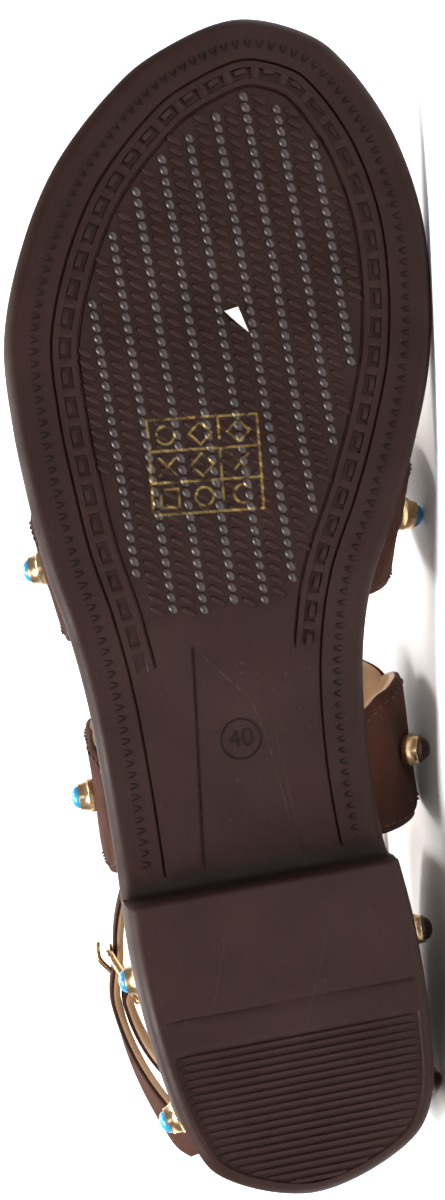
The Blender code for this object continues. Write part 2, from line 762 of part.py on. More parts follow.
def heel_loop(empty):
    """Keeper on the counter's tab: a band of suede round the outside of the ankle strap."""
    centre = ankle_point(-math.pi / 2, 0)
    half = ANKLE_STRAP_WIDTH / 2 + CLEARANCE
    reach = ANKLE_STRAP_THICKNESS + CLEARANCE
    foot = half + LOOP_FOOT
    profile = (
        # outward from the strap's inner face, height from its middle
        (LOOP_SEAT, -foot),
        (LOOP_SEAT + LOOP_WALL, -foot),
        (reach + LOOP_WALL, -half - LOOP_WALL),
        (reach + LOOP_WALL, half + LOOP_WALL),
        (LOOP_SEAT + LOOP_WALL, foot),
        (LOOP_SEAT, foot),
        (LOOP_SEAT, half),
        (reach, half),
        (reach, -half),
        (LOOP_SEAT, -half),
    )
    points, faces = [], []
    z = ankle_z(centre[1])
    for side in (-1, 1):
        for out, rise in profile:
            points.append(leaning((centre[0] + side * LOOP_HALF_WIDTH, centre[1] - out), z + rise))
    count = len(profile)
    for i in range(count):
        j = (i + 1) % count
        faces.append((i, j, count + j, count + i))
    faces.append(tuple(range(count)))
    faces.append(tuple(range(count, 2 * count)))
    put("heel_loop", facing_out(mesh_of("heel_loop", points, faces)), "brown_suede", empty)


def tube(name, points, radius, empty, closed):
    """A gold rod along a polyline."""
    curve = bpy.data.curves.new(name, "CURVE")
    curve.dimensions = "3D"
    curve.bevel_depth = radius
    curve.bevel_resolution = 2
    curve.use_fill_caps = True
    spline = curve.splines.new("POLY")
    spline.points.add(len(points) - 1)
    for point, place in zip(spline.points, points):
        point.co = (*place, 1)
    spline.use_cyclic_u = closed
    curve.materials.append(material("gold_metal"))
    made = bpy.data.objects.new(name, curve)
    bpy.data.collections["sandal"].objects.link(made)
    made.parent = empty
    return made


def buckle(empty):
    bar = ankle_angle(SOLE_LENGTH * BUCKLE_STATION)
    front = ankle_angle(SOLE_LENGTH * BUCKLE_STATION + BUCKLE_LENGTH)
    radius = BUCKLE_WIRE / 2
    rear = ankle_point(bar, bar_level())
    fore = ankle_point(front, ANKLE_STRAP_THICKNESS + CLEARANCE + radius)
    z = (ankle_z(rear[1]) + ankle_z(fore[1])) / 2
    rear, fore = leaning(rear, z), leaning(fore, z)
    half = ANKLE_STRAP_WIDTH / 2 + 3 * CLEARANCE + radius
    corner = 1.5 * MM
    along = fore - rear
    size = along.length
    along.normalize()
    frame = []
    for cx, cz, start in (
        (size - corner, half - corner, 0),
        (corner, half - corner, 90),
        (corner, corner - half, 180),
        (size - corner, corner - half, 270),
    ):
        for angle in (0, 30, 60, 90):
            turn = math.radians(start + angle)
            place = rear + along * (cx + corner * math.cos(turn))
            rise = cz + corner * math.sin(turn)
            frame.append(place + Vector((-UPPER_LEAN * rise, 0, rise)))
    tube("buckle_frame", frame, radius, empty, closed=True)
    pin = []
    for share, level in PIN_PATH:
        plan = ankle_point(bar + (front - bar) * share, level * ANKLE_STRAP_THICKNESS)
        pin.append(leaning(plan, z))
    tube("buckle_pin", pin, PIN_WIRE / 2, empty, closed=False)


# Assembly
def clear_scene():
    for item in list(bpy.data.objects):
        bpy.data.objects.remove(item)
    for name in ("sandal", "cutters"):
        bpy.context.scene.collection.children.link(bpy.data.collections.new(name))


def solid_points():
    """Every piece's corners and triangles in the shoe's own frame."""
    bpy.context.view_layer.update()
    graph = bpy.context.evaluated_depsgraph_get()
    solids = []
    for item in bpy.data.collections["sandal"].objects:
        mesh = bpy.data.meshes.new_from_object(item.evaluated_get(graph))
        mesh.transform(item.matrix_world)
        mesh.calc_loop_triangles()
        points = np.array([v.co for v in mesh.vertices])
        solids.append((points, np.array([t.vertices for t in mesh.loop_triangles])))
        bpy.data.meshes.remove(mesh)
    return solids


def balance_point(solids):
    """Centre of the solids' volume."""
    volume, moment = 0.0, np.zeros(3)
    for points, triangles in solids:
        a, b, c = (points[triangles[:, k]] for k in range(3))
        share = np.einsum("ij,ij->i", a, np.cross(b, c)) / 6
        volume += share.sum()
        moment += (share[:, None] * (a + b + c) / 4).sum(0)
    return Vector(moment / volume)


def resting_side(solids, centre):
    """Outward direction of the largest medial hull face that lies under the centre: the shoe rests on it."""
    hull = bmesh.new()
    for point in np.vstack([points for points, _ in solids]):
        hull.verts.new(point)
    result = bmesh.ops.convex_hull(hull, input=hull.verts)
    chosen, largest = Vector((-1, 0, 0)), 0.0
    for face in (g for g in result["geom"] if isinstance(g, bmesh.types.BMFace)):
        normal = face.normal.copy()
        if normal.dot(face.calc_center_median() - centre) < 0:
            normal.negate()
        corners = [v.co for v in face.verts]
        hit = geometry.intersect_ray_tri(*corners, normal, centre, True)
        if normal.x < -0.8 and hit and face.calc_area() > largest:
            chosen, largest = normal, face.calc_area()
    hull.free()
    return chosen


def lie_down(empty):
    """Turn the shoe on its medial side: toe along +X, sole towards -Y, lateral side up."""
    solids = solid_points()
    up = -resting_side(solids, balance_point(solids))
    toe = Vector((0, 1, 0))
    toe = (toe - up * toe.dot(up)).normalized()
    turn = Matrix((toe, up.cross(toe), up))
    points = np.vstack([points for points, _ in solids]) @ np.array(turn).T
    low, high = points.min(0), points.max(0)
    place = Vector((-(low[0] + high[0]) / 2, -(low[1] + high[1]) / 2, -low[2]))
    empty.matrix_world = Matrix.Translation(place) @ turn.to_4x4()


clear_scene()
shoe = bpy.data.objects.new("shoe", None)
bpy.context.scene.collection.objects.link(shoe)
STUDS = stud_meshes()
outsole(shoe)
insole(shoe)
strap_over_foot("front_strap", FRONT_STRAP, FRONT_STRAP_WIDTH, shoe)
strap_over_foot("instep_strap", INSTEP_STRAP, INSTEP_STRAP_WIDTH, shoe)
heel_counter(shoe)
ankle_strap(shoe)
heel_loop(shoe)
buckle(shoe)
lie_down(shoe)
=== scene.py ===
# %% [markdown]
# # A flat strappy sandal, lying on its side
#
# The real shoe is a moulded rubber sole with a low heel, and an upper of scalloped suede straps with
# cabochon studs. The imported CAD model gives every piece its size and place. Here each piece gets its
# fine surface: the cut tread, the nap of the suede, the rounded edges, the stitches and the stones.
# Everything is built in the shoe's own frame, with Y from heel to toe, X to the outer side and Z up from
# the tread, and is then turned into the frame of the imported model. That way a size can be read off the
# shoe as it stands, although the shoe lies on its side.

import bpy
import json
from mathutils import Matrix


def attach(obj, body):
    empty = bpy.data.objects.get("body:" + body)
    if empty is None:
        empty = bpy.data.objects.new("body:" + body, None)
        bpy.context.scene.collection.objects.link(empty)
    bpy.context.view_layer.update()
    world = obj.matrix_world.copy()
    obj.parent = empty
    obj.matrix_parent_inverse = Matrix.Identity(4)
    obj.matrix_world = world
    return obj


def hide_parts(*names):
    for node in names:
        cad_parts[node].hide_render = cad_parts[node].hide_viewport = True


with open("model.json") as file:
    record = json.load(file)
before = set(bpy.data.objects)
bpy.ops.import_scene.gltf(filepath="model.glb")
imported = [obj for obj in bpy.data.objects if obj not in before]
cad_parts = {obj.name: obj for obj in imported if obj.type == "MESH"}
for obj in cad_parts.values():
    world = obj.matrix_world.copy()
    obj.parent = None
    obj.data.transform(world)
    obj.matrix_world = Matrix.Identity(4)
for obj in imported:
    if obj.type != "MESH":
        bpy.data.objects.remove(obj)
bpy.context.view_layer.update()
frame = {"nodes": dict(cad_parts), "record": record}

import json
import math

import bmesh
import bpy
import numpy as np
from mathutils import Matrix, Vector

# %% [markdown]
# ## The shoe's own frame
#
# Two flat spots of the tread are in the record as mounts, and so is the direction they face. Their places
# in the shoe are known, so the whole turn can be worked out from them. Typing in a matrix would work too,
# but it would be wrong as soon as the shoe lay a little differently.

# %% Turn the shoe's frame into the model's frame
MM = 0.001
HEEL_SPOT = Vector((-0.5, 36, 0)) * MM
BALL_SPOT = Vector((-10, 180, 0)) * MM

mounts = {mount["name"]: mount for mount in frame["record"]["mounts"]}
heel_spot = Vector(mounts["heel_tread"]["pos_m"])
ball_spot = Vector(mounts["forefoot_tread"]["pos_m"])
shoe_up = -Vector(mounts["heel_tread"]["axis"]).normalized()
run = (ball_spot - heel_spot).normalized()
beside = shoe_up.cross(run)
lean, ahead, _ = (BALL_SPOT - HEEL_SPOT).normalized()
shoe_x = lean * run - ahead * beside
shoe_y = ahead * run + lean * beside
turn = Matrix((shoe_x, shoe_y, shoe_up)).transposed()
TO_MODEL = Matrix.Translation(heel_spot - turn @ HEEL_SPOT) @ turn.to_4x4()
TO_SHOE = TO_MODEL.inverted()
print("origin of the shoe's frame:", [round(c, 4) for c in TO_MODEL.translation])


def in_model(points):
    """Points of the shoe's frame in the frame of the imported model."""
    matrix = np.array(TO_MODEL)
    return np.asarray(points, float) @ matrix[:3, :3].T + matrix[:3, 3]


# %% [markdown]
# ## Camera, floor and light
#
# The shoe is seen from below, 8 degrees towards its outer side, from half a metre away. The camera stands
# just above the floor and is turned on its side, so that the toe points up in the picture. The floor
# sweeps up into a backdrop, as paper does in a photo studio. The main soft light hangs above the shoe,
# over its heel, a weak one fills in from beside the camera, and a third lights the backdrop. A point lamp
# would give hard shadows that the photograph doesn't have.

# %% Camera at the photograph's angle
VIEW_DISTANCE = 500 * MM
VIEW_TILT = math.radians(8)
PICTURE_TURN = math.radians(9.4)
PICTURE_CENTRE = Vector((-0.4, 133, 0)) * MM
PIXELS_PER_MM = 4.53
PICTURE_HEIGHT = 1200

aim = Vector((-math.sin(VIEW_TILT), 0, math.cos(VIEW_TILT)))
top = Vector((-math.sin(PICTURE_TURN), math.cos(PICTURE_TURN), 0))
top = (top - aim * top.dot(aim)).normalized()
camera = bpy.data.objects.new("camera", bpy.data.cameras.new("camera"))
bpy.context.scene.collection.objects.link(camera)
camera.data.sensor_width = 36
camera.data.lens = camera.data.sensor_width * VIEW_DISTANCE / (PICTURE_HEIGHT / PIXELS_PER_MM * MM)
camera.data.clip_start = 0.01
sight = Matrix((aim.cross(top), top, -aim)).transposed()
place = PICTURE_CENTRE - aim * VIEW_DISTANCE
camera.matrix_world = TO_MODEL @ Matrix.Translation(place) @ sight.to_4x4()
bpy.context.scene.camera = camera
print("camera height over the floor in mm:", round(1000 * camera.matrix_world.translation.z))

# %% Floor and backdrop
SWEEP_BACK = 0.9
SWEEP_RADIUS = 0.5
SWEEP_WIDTH = 2.4
SWEEP_HEIGHT = 1.6


def sweep_profile():
    """Floor, bend and wall of the paper sweep, as (Y, Z) pairs."""
    bend = [
        (SWEEP_BACK + SWEEP_RADIUS * math.sin(a), SWEEP_RADIUS * (1 - math.cos(a)))
        for a in np.linspace(0, math.pi / 2, 17)
    ]
    return [(-SWEEP_WIDTH, 0), *bend, (SWEEP_BACK + SWEEP_RADIUS, SWEEP_HEIGHT)]


profile = sweep_profile()
corners = [(side * SWEEP_WIDTH, y, z) for y, z in profile for side in (-1, 1)]
strips = [(2 * i, 2 * i + 1, 2 * i + 3, 2 * i + 2) for i in range(len(profile) - 1)]
sweep_mesh = bpy.data.meshes.new("paper_sweep")
sweep_mesh.from_pydata(corners, [], strips)
sweep_mesh.shade_smooth()
paper_sweep = bpy.data.objects.new("paper_sweep", sweep_mesh)
bpy.context.scene.collection.objects.link(paper_sweep)

# %% Soft lights and a pale surround
LAMPS = (
    # name, place, point it aims at, size in metres, power in watts
    ("light_above", (-0.40, -0.28, 1.0), (0, 0, 0.05), 0.45, 22),
    ("light_beside_camera", (-0.10, -1.00, 0.60), (0, 0, 0.05), 0.5, 0.7),
    ("light_on_backdrop", (0, 0.6, 1.3), (0, 1.2, 0.2), 1.0, 30),
)
SURROUND_STRENGTH = 0.25


def soft_light(name, place, aim_at, size, power):
    lamp = bpy.data.lights.new(name, "AREA")
    lamp.shape = "DISK"
    lamp.size = size
    lamp.energy = power
    made = bpy.data.objects.new(name, lamp)
    bpy.context.scene.collection.objects.link(made)
    made.location = place
    made.rotation_mode = "QUATERNION"
    made.rotation_quaternion = (Vector(aim_at) - Vector(place)).to_track_quat("-Z", "Y")


for lamp_row in LAMPS:
    soft_light(*lamp_row)

surround = bpy.data.worlds.new("pale_surround")
surround.use_nodes = True
surround.node_tree.nodes["Background"].inputs["Color"].default_value = (1, 1, 1, 1)
surround.node_tree.nodes["Background"].inputs["Strength"].default_value = SURROUND_STRENGTH
bpy.context.scene.world = surround
bpy.context.scene.view_settings.view_transform = "Standard"

# %% [markdown]
# ## Finishes
#
# Each material is a small tree of procedural nodes. Colour varies with a slow noise, the way a hide or a
# moulding does, and a fast noise makes the grain as bump. The patterns read an attribute called place,
# the point's position on the shoe in metres, which every piece gets when it is made. Object coordinates
# would do too, but then a mark on the sole would have to be placed in the frame of the lying shoe.

# %% Helpers for node trees


def node(tree, kind, inputs=None, **settings):
    """A node with its settings, its inputs linked or set."""
    made = tree.nodes.new(kind)
    for name, value in settings.items():
        setattr(made, name, value)
    for socket, value in (inputs or {}).items():
        if isinstance(value, bpy.types.NodeSocket):
            tree.links.new(value, made.inputs[socket])
        else:
            made.inputs[socket].default_value = value
    return made


def maths(tree, operation, *values):
    return node(tree, "ShaderNodeMath", dict(enumerate(values)), operation=operation).outputs[0]


def new_finish(name, roughness, metallic=0.0):
    """A material, its tree, its shader and the position on the shoe."""
    made = bpy.data.materials.new(name)
    made.use_nodes = True
    tree = made.node_tree
    shader = tree.nodes["Principled BSDF"]
    shader.inputs["Roughness"].default_value = roughness
    shader.inputs["Metallic"].default_value = metallic
    place = node(tree, "ShaderNodeAttribute", attribute_name="place").outputs["Vector"]
    return made, tree, shader, place


def noise(tree, place, scale, detail=3.0, roughness=0.5, distortion=0.0):
    values = {
        "Vector": place, "Scale": scale, "Detail": detail,
        "Roughness": roughness, "Distortion": distortion,
    }
    return node(tree, "ShaderNodeTexNoise", values).outputs["Fac"]


def spread(tree, value, low, high, to_low=0.0, to_high=1.0):
    """A value mapped from one range to another, and kept inside it."""
    values = {0: value, 1: low, 2: high, 3: to_low, 4: to_high}
    return node(tree, "ShaderNodeMapRange", values).outputs[0]


def blend_colours(tree, share, first, second):
    """Two colours mixed by a share; either may be a link."""
    values = {"Factor": share}
    made = node(tree, "ShaderNodeMix", values, data_type="RGBA")
    for socket, colour in ((6, first), (7, second)):
        if isinstance(colour, bpy.types.NodeSocket):
            tree.links.new(colour, made.inputs[socket])
        else:
            made.inputs[socket].default_value = (*colour, 1)
    return made.outputs[2]


def bump(tree, shader, height, depth, below=None):
    """Bump of a real depth in metres, on top of another one."""
    values = {"Height": height, "Strength": 1.0, "Distance": depth}
    if below is not None:
        values["Normal"] = below
    made = node(tree, "ShaderNodeBump", values).outputs[0]
    tree.links.new(made, shader.inputs["Normal"])
    return made


# %% [markdown]
# ### Gold foil print
#
# Over the weave lies a hot-stamped grid of gold foil, two columns by three rows, with a plain sign in
# each cell. Foil is far thinner than the knobs that it lies on, so it is drawn in the rubber's material:
# a mask is 1 where foil is, worked out from the distance to lines and to simple signs.

# %% Mask of the printed grid
FOIL_PLACE = Vector((-1.5, 163.2, 0)) * MM
FOIL_TURN = math.radians(-5.0)
FOIL_COLUMNS = (-12.2, 3.6, 12.4)
FOIL_ROWS = (-10.5, -3.5, 3.5, 10.5)
FOIL_LINE = 0.32
FOIL = (0.27, 0.185, 0.060)


def near(tree, value, level, width):
    """1 where a value lies within a width of a level, with a soft rim."""
    off = maths(tree, "ABSOLUTE", maths(tree, "SUBTRACT", value, level))
    return spread(tree, off, 0.55 * width, 1.2 * width, 1.0, 0.0)


def between(tree, value, low, high):
    middle, half = (low + high) / 2, (high - low) / 2
    off = maths(tree, "ABSOLUTE", maths(tree, "SUBTRACT", value, middle))
    return spread(tree, off, half, half + 0.2, 1.0, 0.0)


def sign(tree, kind, u, v, cu, cv, size):
    """Outline of a plain sign: a ring, a square, a diamond or a cross."""
    du = maths(tree, "ABSOLUTE", maths(tree, "SUBTRACT", u, cu))
    dv = maths(tree, "ABSOLUTE", maths(tree, "SUBTRACT", v, cv))
    if kind == "ring":
        square = maths(tree, "ADD", maths(tree, "MULTIPLY", du, du), maths(tree, "MULTIPLY", dv, dv))
        return near(tree, maths(tree, "SQRT", square), size, FOIL_LINE)
    if kind == "square":
        return near(tree, maths(tree, "MAXIMUM", du, dv), size, FOIL_LINE)
    if kind == "diamond":
        return near(tree, maths(tree, "ADD", du, dv), 1.25 * size, 1.3 * FOIL_LINE)
    arms = near(tree, maths(tree, "SUBTRACT", du, dv), 0.0, 1.3 * FOIL_LINE)
    reach = spread(tree, maths(tree, "MAXIMUM", du, dv), size, size + 0.2, 1, 0)
    return maths(tree, "MULTIPLY", arms, reach)


def foil_mask(tree, place):
    moved = node(tree, "ShaderNodeVectorMath", {0: place, 1: FOIL_PLACE}, operation="SUBTRACT").outputs[0]
    turned = node(
        tree, "ShaderNodeVectorRotate", {"Vector": moved, "Angle": FOIL_TURN}, rotation_type="Z_AXIS"
    ).outputs[0]
    parts = node(tree, "ShaderNodeSeparateXYZ", {0: turned}).outputs
    u = maths(tree, "MULTIPLY", parts["X"], -1 / MM)
    v = maths(tree, "MULTIPLY", parts["Y"], 1 / MM)
    pieces = []
    inside_v = between(tree, v, FOIL_ROWS[0], FOIL_ROWS[-1])
    inside_u = between(tree, u, FOIL_COLUMNS[0], FOIL_COLUMNS[-1])
    for column in FOIL_COLUMNS:
        pieces.append(maths(tree, "MULTIPLY", near(tree, u, column, FOIL_LINE), inside_v))
    for row in FOIL_ROWS:
        pieces.append(maths(tree, "MULTIPLY", near(tree, v, row, FOIL_LINE), inside_u))
    signs = (("square", "ring"), ("cross", "diamond"), ("ring", "diamond"))
    for r, kinds in enumerate(signs):
        cv = (FOIL_ROWS[r] + FOIL_ROWS[r + 1]) / 2
        spots = ((FOIL_COLUMNS[0] + 3.9, kinds[0]), (FOIL_COLUMNS[0] + 11.6, kinds[1]),
                 ((FOIL_COLUMNS[1] + FOIL_COLUMNS[2]) / 2, kinds[1 - r % 2]))
        for cu, kind in spots:
            pieces.append(sign(tree, kind, u, v, cu, cv, 2.0))
    mask = pieces[0]
    for piece in pieces[1:]:
        mask = maths(tree, "MAXIMUM", mask, piece)
    facing = spread(tree, maths(tree, "ABSOLUTE", parts["Z"]), 0.0, 2.5 * MM, 1.0, 0.0)
    rubbed = spread(tree, noise(tree, place, 420, 3), 0.36, 0.56)
    return maths(tree, "MULTIPLY", maths(tree, "MULTIPLY", mask, facing), rubbed)


# %% [markdown]
# ### Dark brown rubber
#
# The sole is one moulding, nearly matt, with a faint grain from its mould. It has been walked on a few
# steps: there are thin pale scratches across waist and heel. A scratch is a straight streak between two
# points of the sole, so the material turns the position into "along" and "across" for each of them. Painted
# shade darkens the corner in front of the heel, as a mask between two stations. One recipe serves three
# times: for the sole; paler and glossier for the beads, paler partly from the ground's wear and partly as
# painted highlight; and darker for fine marks, as painted shade.

# %% Rubber of the sole
RUBBER_DARK = (0.0200, 0.0074, 0.0056)
RUBBER_PALE = (0.0280, 0.0112, 0.0086)
# the beads' colours: paler partly from wear and partly as painted highlight
RUBBED_AND_HIGHLIT_DARK = (0.023, 0.0130, 0.0115)
RUBBED_AND_HIGHLIT_PALE = (0.038, 0.0250, 0.0235)
# painted shade: the darkest tones, for fine marks and for the corner in front of the heel
SHADED_DARK = (0.007, 0.0035, 0.0030)
SHADED_PALE = (0.012, 0.0060, 0.0050)
DUST = (0.105, 0.080, 0.072)
# the painted shade in front of the heel, in mm: where it begins, is full, starts to fade and ends
PAINTED_HEEL_SHADE = (69.5, 70.0, 71.8, 75.5)
PAINTED_HEEL_SHADE_HALF_WIDTH = (28, 30)
PAINTED_HEEL_SHADE_STRENGTH = 0.85
SCRATCHES = (
    # medial and Y of both ends, width, strength
    (-6.0, 122.0, 4.0, 110.0, 0.14, 0.45),
    (4.0, 110.0, 6.5, 100.0, 0.14, 0.35),
    (6.5, 100.0, 9.0, 82.0, 0.15, 0.30),
    (-11.0, 60.0, -17.5, 41.0, 0.14, 0.2),
    (12.0, 58.0, 4.5, 39.5, 0.12, 0.2),
)


def streak(tree, place, row):
    """Pale streak between two points given by their distance to the medial side and their Y."""
    medial, y, medial_end, y_end, width, strength = row
    start = Vector((-medial, y, 0)) * MM
    end = Vector((-medial_end, y_end, 0)) * MM
    angle = math.atan2(end.y - start.y, end.x - start.x)
    moved = node(tree, "ShaderNodeVectorMath", {0: place, 1: start}, operation="SUBTRACT").outputs[0]
    turned = node(
        tree, "ShaderNodeVectorRotate", {"Vector": moved, "Angle": -angle}, rotation_type="Z_AXIS"
    ).outputs[0]
    parts = node(tree, "ShaderNodeSeparateXYZ", {0: turned}).outputs
    off = maths(tree, "ABSOLUTE", parts["Y"])
    across = spread(tree, off, 0.4 * width * MM, width * MM, 1.0, 0.0)
    length = (end - start).length
    middle = maths(tree, "ABSOLUTE", maths(tree, "SUBTRACT", parts["X"], length / 2))
    along = spread(tree, middle, 0.35 * length, 0.5 * length, 1.0, 0.0)
    return maths(tree, "MULTIPLY", maths(tree, "MULTIPLY", across, along), strength)


def rubber(name="dark_rubber", dark=RUBBER_DARK, pale=RUBBER_PALE, shine=0.15, dull=0.46):
    made, tree, shader, place = new_finish(name, 0.55)
    shader.inputs["Specular IOR Level"].default_value = shine
    slow = spread(tree, noise(tree, place, 45, 4), 0.35, 0.7)
    colour = blend_colours(tree, slow, dark, pale)
    speck = spread(tree, noise(tree, place, 900, 2), 0.66, 0.80, 0.0, 0.22)
    colour = blend_colours(tree, speck, colour, DUST)
    marks = None
    for row in SCRATCHES:
        mark = streak(tree, place, row)
        marks = mark if marks is None else maths(tree, "MAXIMUM", marks, mark)
    broken = spread(tree, noise(tree, place, 400, 2), 0.35, 0.6)
    colour = blend_colours(tree, maths(tree, "MULTIPLY", marks, broken), colour, DUST)
    parts = node(tree, "ShaderNodeSeparateXYZ", {0: place}).outputs
    # painted shade: the corner in front of the heel is darkened, where the heel's front face shades the
    # waist
    begin, full, fade, end = (at * MM for at in PAINTED_HEEL_SHADE)
    shade_begins = spread(tree, parts["Y"], begin, full)
    fading = spread(tree, parts["Y"], fade, end, PAINTED_HEEL_SHADE_STRENGTH, 0.0)
    heel_shade = maths(tree, "MULTIPLY", shade_begins, fading)
    full_x, end_x = (at * MM for at in PAINTED_HEEL_SHADE_HALF_WIDTH)
    inside = spread(tree, maths(tree, "ABSOLUTE", parts["X"]), full_x, end_x, 1.0, 0.0)
    colour = blend_colours(tree, maths(tree, "MULTIPLY", heel_shade, inside), colour, SHADED_DARK)
    foil = foil_mask(tree, place)
    colour = blend_colours(tree, foil, colour, FOIL)
    tree.links.new(colour, shader.inputs["Base Color"])
    tree.links.new(maths(tree, "MULTIPLY", foil, 0.55), shader.inputs["Metallic"])
    gloss = spread(tree, noise(tree, place, 80, 3), 0.3, 0.7, dull, dull + 0.2)
    tree.links.new(gloss, shader.inputs["Roughness"])
    first = bump(tree, shader, noise(tree, place, 1400, 2), 0.05 * MM)
    bump(tree, shader, noise(tree, place, 160, 3), 0.12 * MM, first)
    return made


dark_rubber = rubber()
# beads: paler partly from wear and partly as painted highlight, and glossier
rubbed_and_highlit_rubber = rubber("rubbed_and_highlit_rubber", RUBBED_AND_HIGHLIT_DARK, RUBBED_AND_HIGHLIT_PALE, shine=0.5, dull=0.32)
# painted shade: the darkest rubber makes fine marks look dark, as cuts in shade do
shaded_rubber = rubber("shaded_rubber", SHADED_DARK, SHADED_PALE, shine=0.1)

# %% [markdown]
# ### Suede and its lining
#
# Suede is leather with its fibres brushed up. It has almost no highlight, a fine nap, paler patches where
# fingers have turned the nap, and a soft glow at grazing angles, which the shader's sheen gives. The
# lining is smooth tan leather with pores and fine creases.

# %% Suede, lining and thread
SUEDE_DARK = (0.019, 0.0060, 0.0035)
SUEDE_PALE = (0.056, 0.0185, 0.0105)
LINING_DARK = (0.36, 0.215, 0.115)
LINING_PALE = (0.56, 0.38, 0.23)
THREAD = (0.040, 0.022, 0.016)


def suede():
    made, tree, shader, place = new_finish("brown_suede_nap", 0.95)
    shader.inputs["Sheen Weight"].default_value = 0.14
    shader.inputs["Sheen Roughness"].default_value = 0.45
    shader.inputs["Sheen Tint"].default_value = (0.75, 0.42, 0.30, 1)
    shader.inputs["Specular IOR Level"].default_value = 0.15
    patches = spread(tree, noise(tree, place, 60, 4, 0.6, 0.6), 0.35, 0.68)
    fibres = spread(tree, noise(tree, place, 1300, 3, 0.7), 0.3, 0.7)
    slow, fast = maths(tree, "MULTIPLY", patches, 0.65), maths(tree, "MULTIPLY", fibres, 0.35)
    colour = blend_colours(tree, maths(tree, "ADD", slow, fast), SUEDE_DARK, SUEDE_PALE)
    tree.links.new(colour, shader.inputs["Base Color"])
    nap = bump(tree, shader, noise(tree, place, 1900, 4, 0.75), 0.16 * MM)
    bump(tree, shader, noise(tree, place, 220, 3), 0.25 * MM, nap)
    return made


def lining():
    made, tree, shader, place = new_finish("tan_leather", 0.6)
    patches = spread(tree, noise(tree, place, 40, 4, 0.55, 0.4), 0.3, 0.7)
    colour = blend_colours(tree, patches, LINING_DARK, LINING_PALE)
    cells = node(tree, "ShaderNodeTexVoronoi", {"Vector": place, "Scale": 1100}).outputs["Distance"]
    pores = spread(tree, cells, 0.0, 0.35)
    colour = blend_colours(tree, spread(tree, cells, 0.0, 0.2, 0.35, 0.0), colour, LINING_DARK)
    tree.links.new(colour, shader.inputs["Base Color"])
    gloss = spread(tree, noise(tree, place, 90, 3), 0.3, 0.7, 0.5, 0.72)
    tree.links.new(gloss, shader.inputs["Roughness"])
    grain = bump(tree, shader, pores, 0.05 * MM)
    bump(tree, shader, noise(tree, place, 130, 4, 0.6, 0.8), 0.2 * MM, grain)
    return made


def thread():
    made, tree, shader, place = new_finish("waxed_thread", 0.7)
    colour = blend_colours(tree, noise(tree, place, 700, 2), THREAD, SUEDE_PALE)
    tree.links.new(colour, shader.inputs["Base Color"])
    bump(tree, shader, noise(tree, place, 2600, 2), 0.05 * MM)
    return made


brown_suede = suede()
tan_leather = lining()
waxed_thread = thread()

# %% [markdown]
# ### Metal and stones
#
# The studs are cheap gold plate, a little dull in places. The stones are glossy plastic: a coat over a
# colour with faint darker clouds gives them their depth.

# %% Gold, turquoise and brown stone
GOLD = (0.80, 0.56, 0.30)
GOLD_DULL = (0.52, 0.35, 0.19)
TURQUOISE = (0.020, 0.315, 0.60)
TURQUOISE_DEEP = (0.010, 0.200, 0.44)
BROWN_STONE = (0.060, 0.022, 0.010)
BROWN_DEEP = (0.018, 0.007, 0.004)


def gold():
    made, tree, shader, place = new_finish("gold_plate", 0.25, 1.0)
    worn = spread(tree, noise(tree, place, 350, 4), 0.42, 0.66)
    tree.links.new(blend_colours(tree, worn, GOLD, GOLD_DULL), shader.inputs["Base Color"])
    tree.links.new(spread(tree, worn, 0, 1, 0.18, 0.42), shader.inputs["Roughness"])
    bump(tree, shader, noise(tree, place, 1500, 2), 0.015 * MM)
    return made


def stone(name, colour, deep):
    made, tree, shader, place = new_finish(name, 0.3)
    shader.inputs["Coat Weight"].default_value = 0.35
    shader.inputs["Coat Roughness"].default_value = 0.05
    clouds = spread(tree, noise(tree, place, 420, 4, 0.6, 1.2), 0.38, 0.7)
    tree.links.new(blend_colours(tree, clouds, colour, deep), shader.inputs["Base Color"])
    bump(tree, shader, noise(tree, place, 500, 2), 0.02 * MM)
    return made


gold_plate = gold()
turquoise_gloss = stone("turquoise_gloss", TURQUOISE, TURQUOISE_DEEP)
brown_gloss = stone("brown_gloss", BROWN_STONE, BROWN_DEEP)

# %% Paper of the sweep
sweep_paper, sweep_tree, sweep_shader, _ = new_finish("sweep_paper", 0.9)
sweep_place = node(sweep_tree, "ShaderNodeTexCoord").outputs["Object"]
sweep_tone = blend_colours(
    sweep_tree, noise(sweep_tree, sweep_place, 3, 2), (0.88, 0.88, 0.88), (0.92, 0.92, 0.92)
)
sweep_tree.links.new(sweep_tone, sweep_shader.inputs["Base Color"])
sweep_mesh.materials.append(sweep_paper)

# %% [markdown]
# ## From points to pieces
#
# Most pieces start as rows of points, because straps, soles and tubes are all surfaces with two
# directions. The object itself stays at the origin, and its place is in its mesh.

# %% Helpers for meshes and pieces


def as_piece(mesh, name, nodes, materials, sharp=35):
    """A mesh in the model's frame as a piece of the shoe, in place of CAD nodes."""
    if not mesh.materials:
        for finish in materials:
            mesh.materials.append(finish)
    mesh.shade_smooth()
    mesh.set_sharp_from_angle(angle=math.radians(sharp))
    places = np.empty(3 * len(mesh.vertices), np.float32)
    mesh.vertices.foreach_get("co", places)
    back = np.array(TO_SHOE)
    places = places.reshape(-1, 3) @ back[:3, :3].T + back[:3, 3]
    attribute = mesh.attributes.new("place", "FLOAT_VECTOR", "POINT")
    attribute.data.foreach_set("vector", places.astype(np.float32).ravel())
    made = bpy.data.objects.new(name, mesh)
    bpy.context.scene.collection.objects.link(made)
    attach(made, "root")
    if nodes:
        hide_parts(*nodes)
    mesh.calc_loop_triangles()
    low = min(vertex.co.z for vertex in mesh.vertices) / MM
    print(f"{name}: {len(mesh.loop_triangles)} triangles, lowest point {low:.2f} mm")
    return made


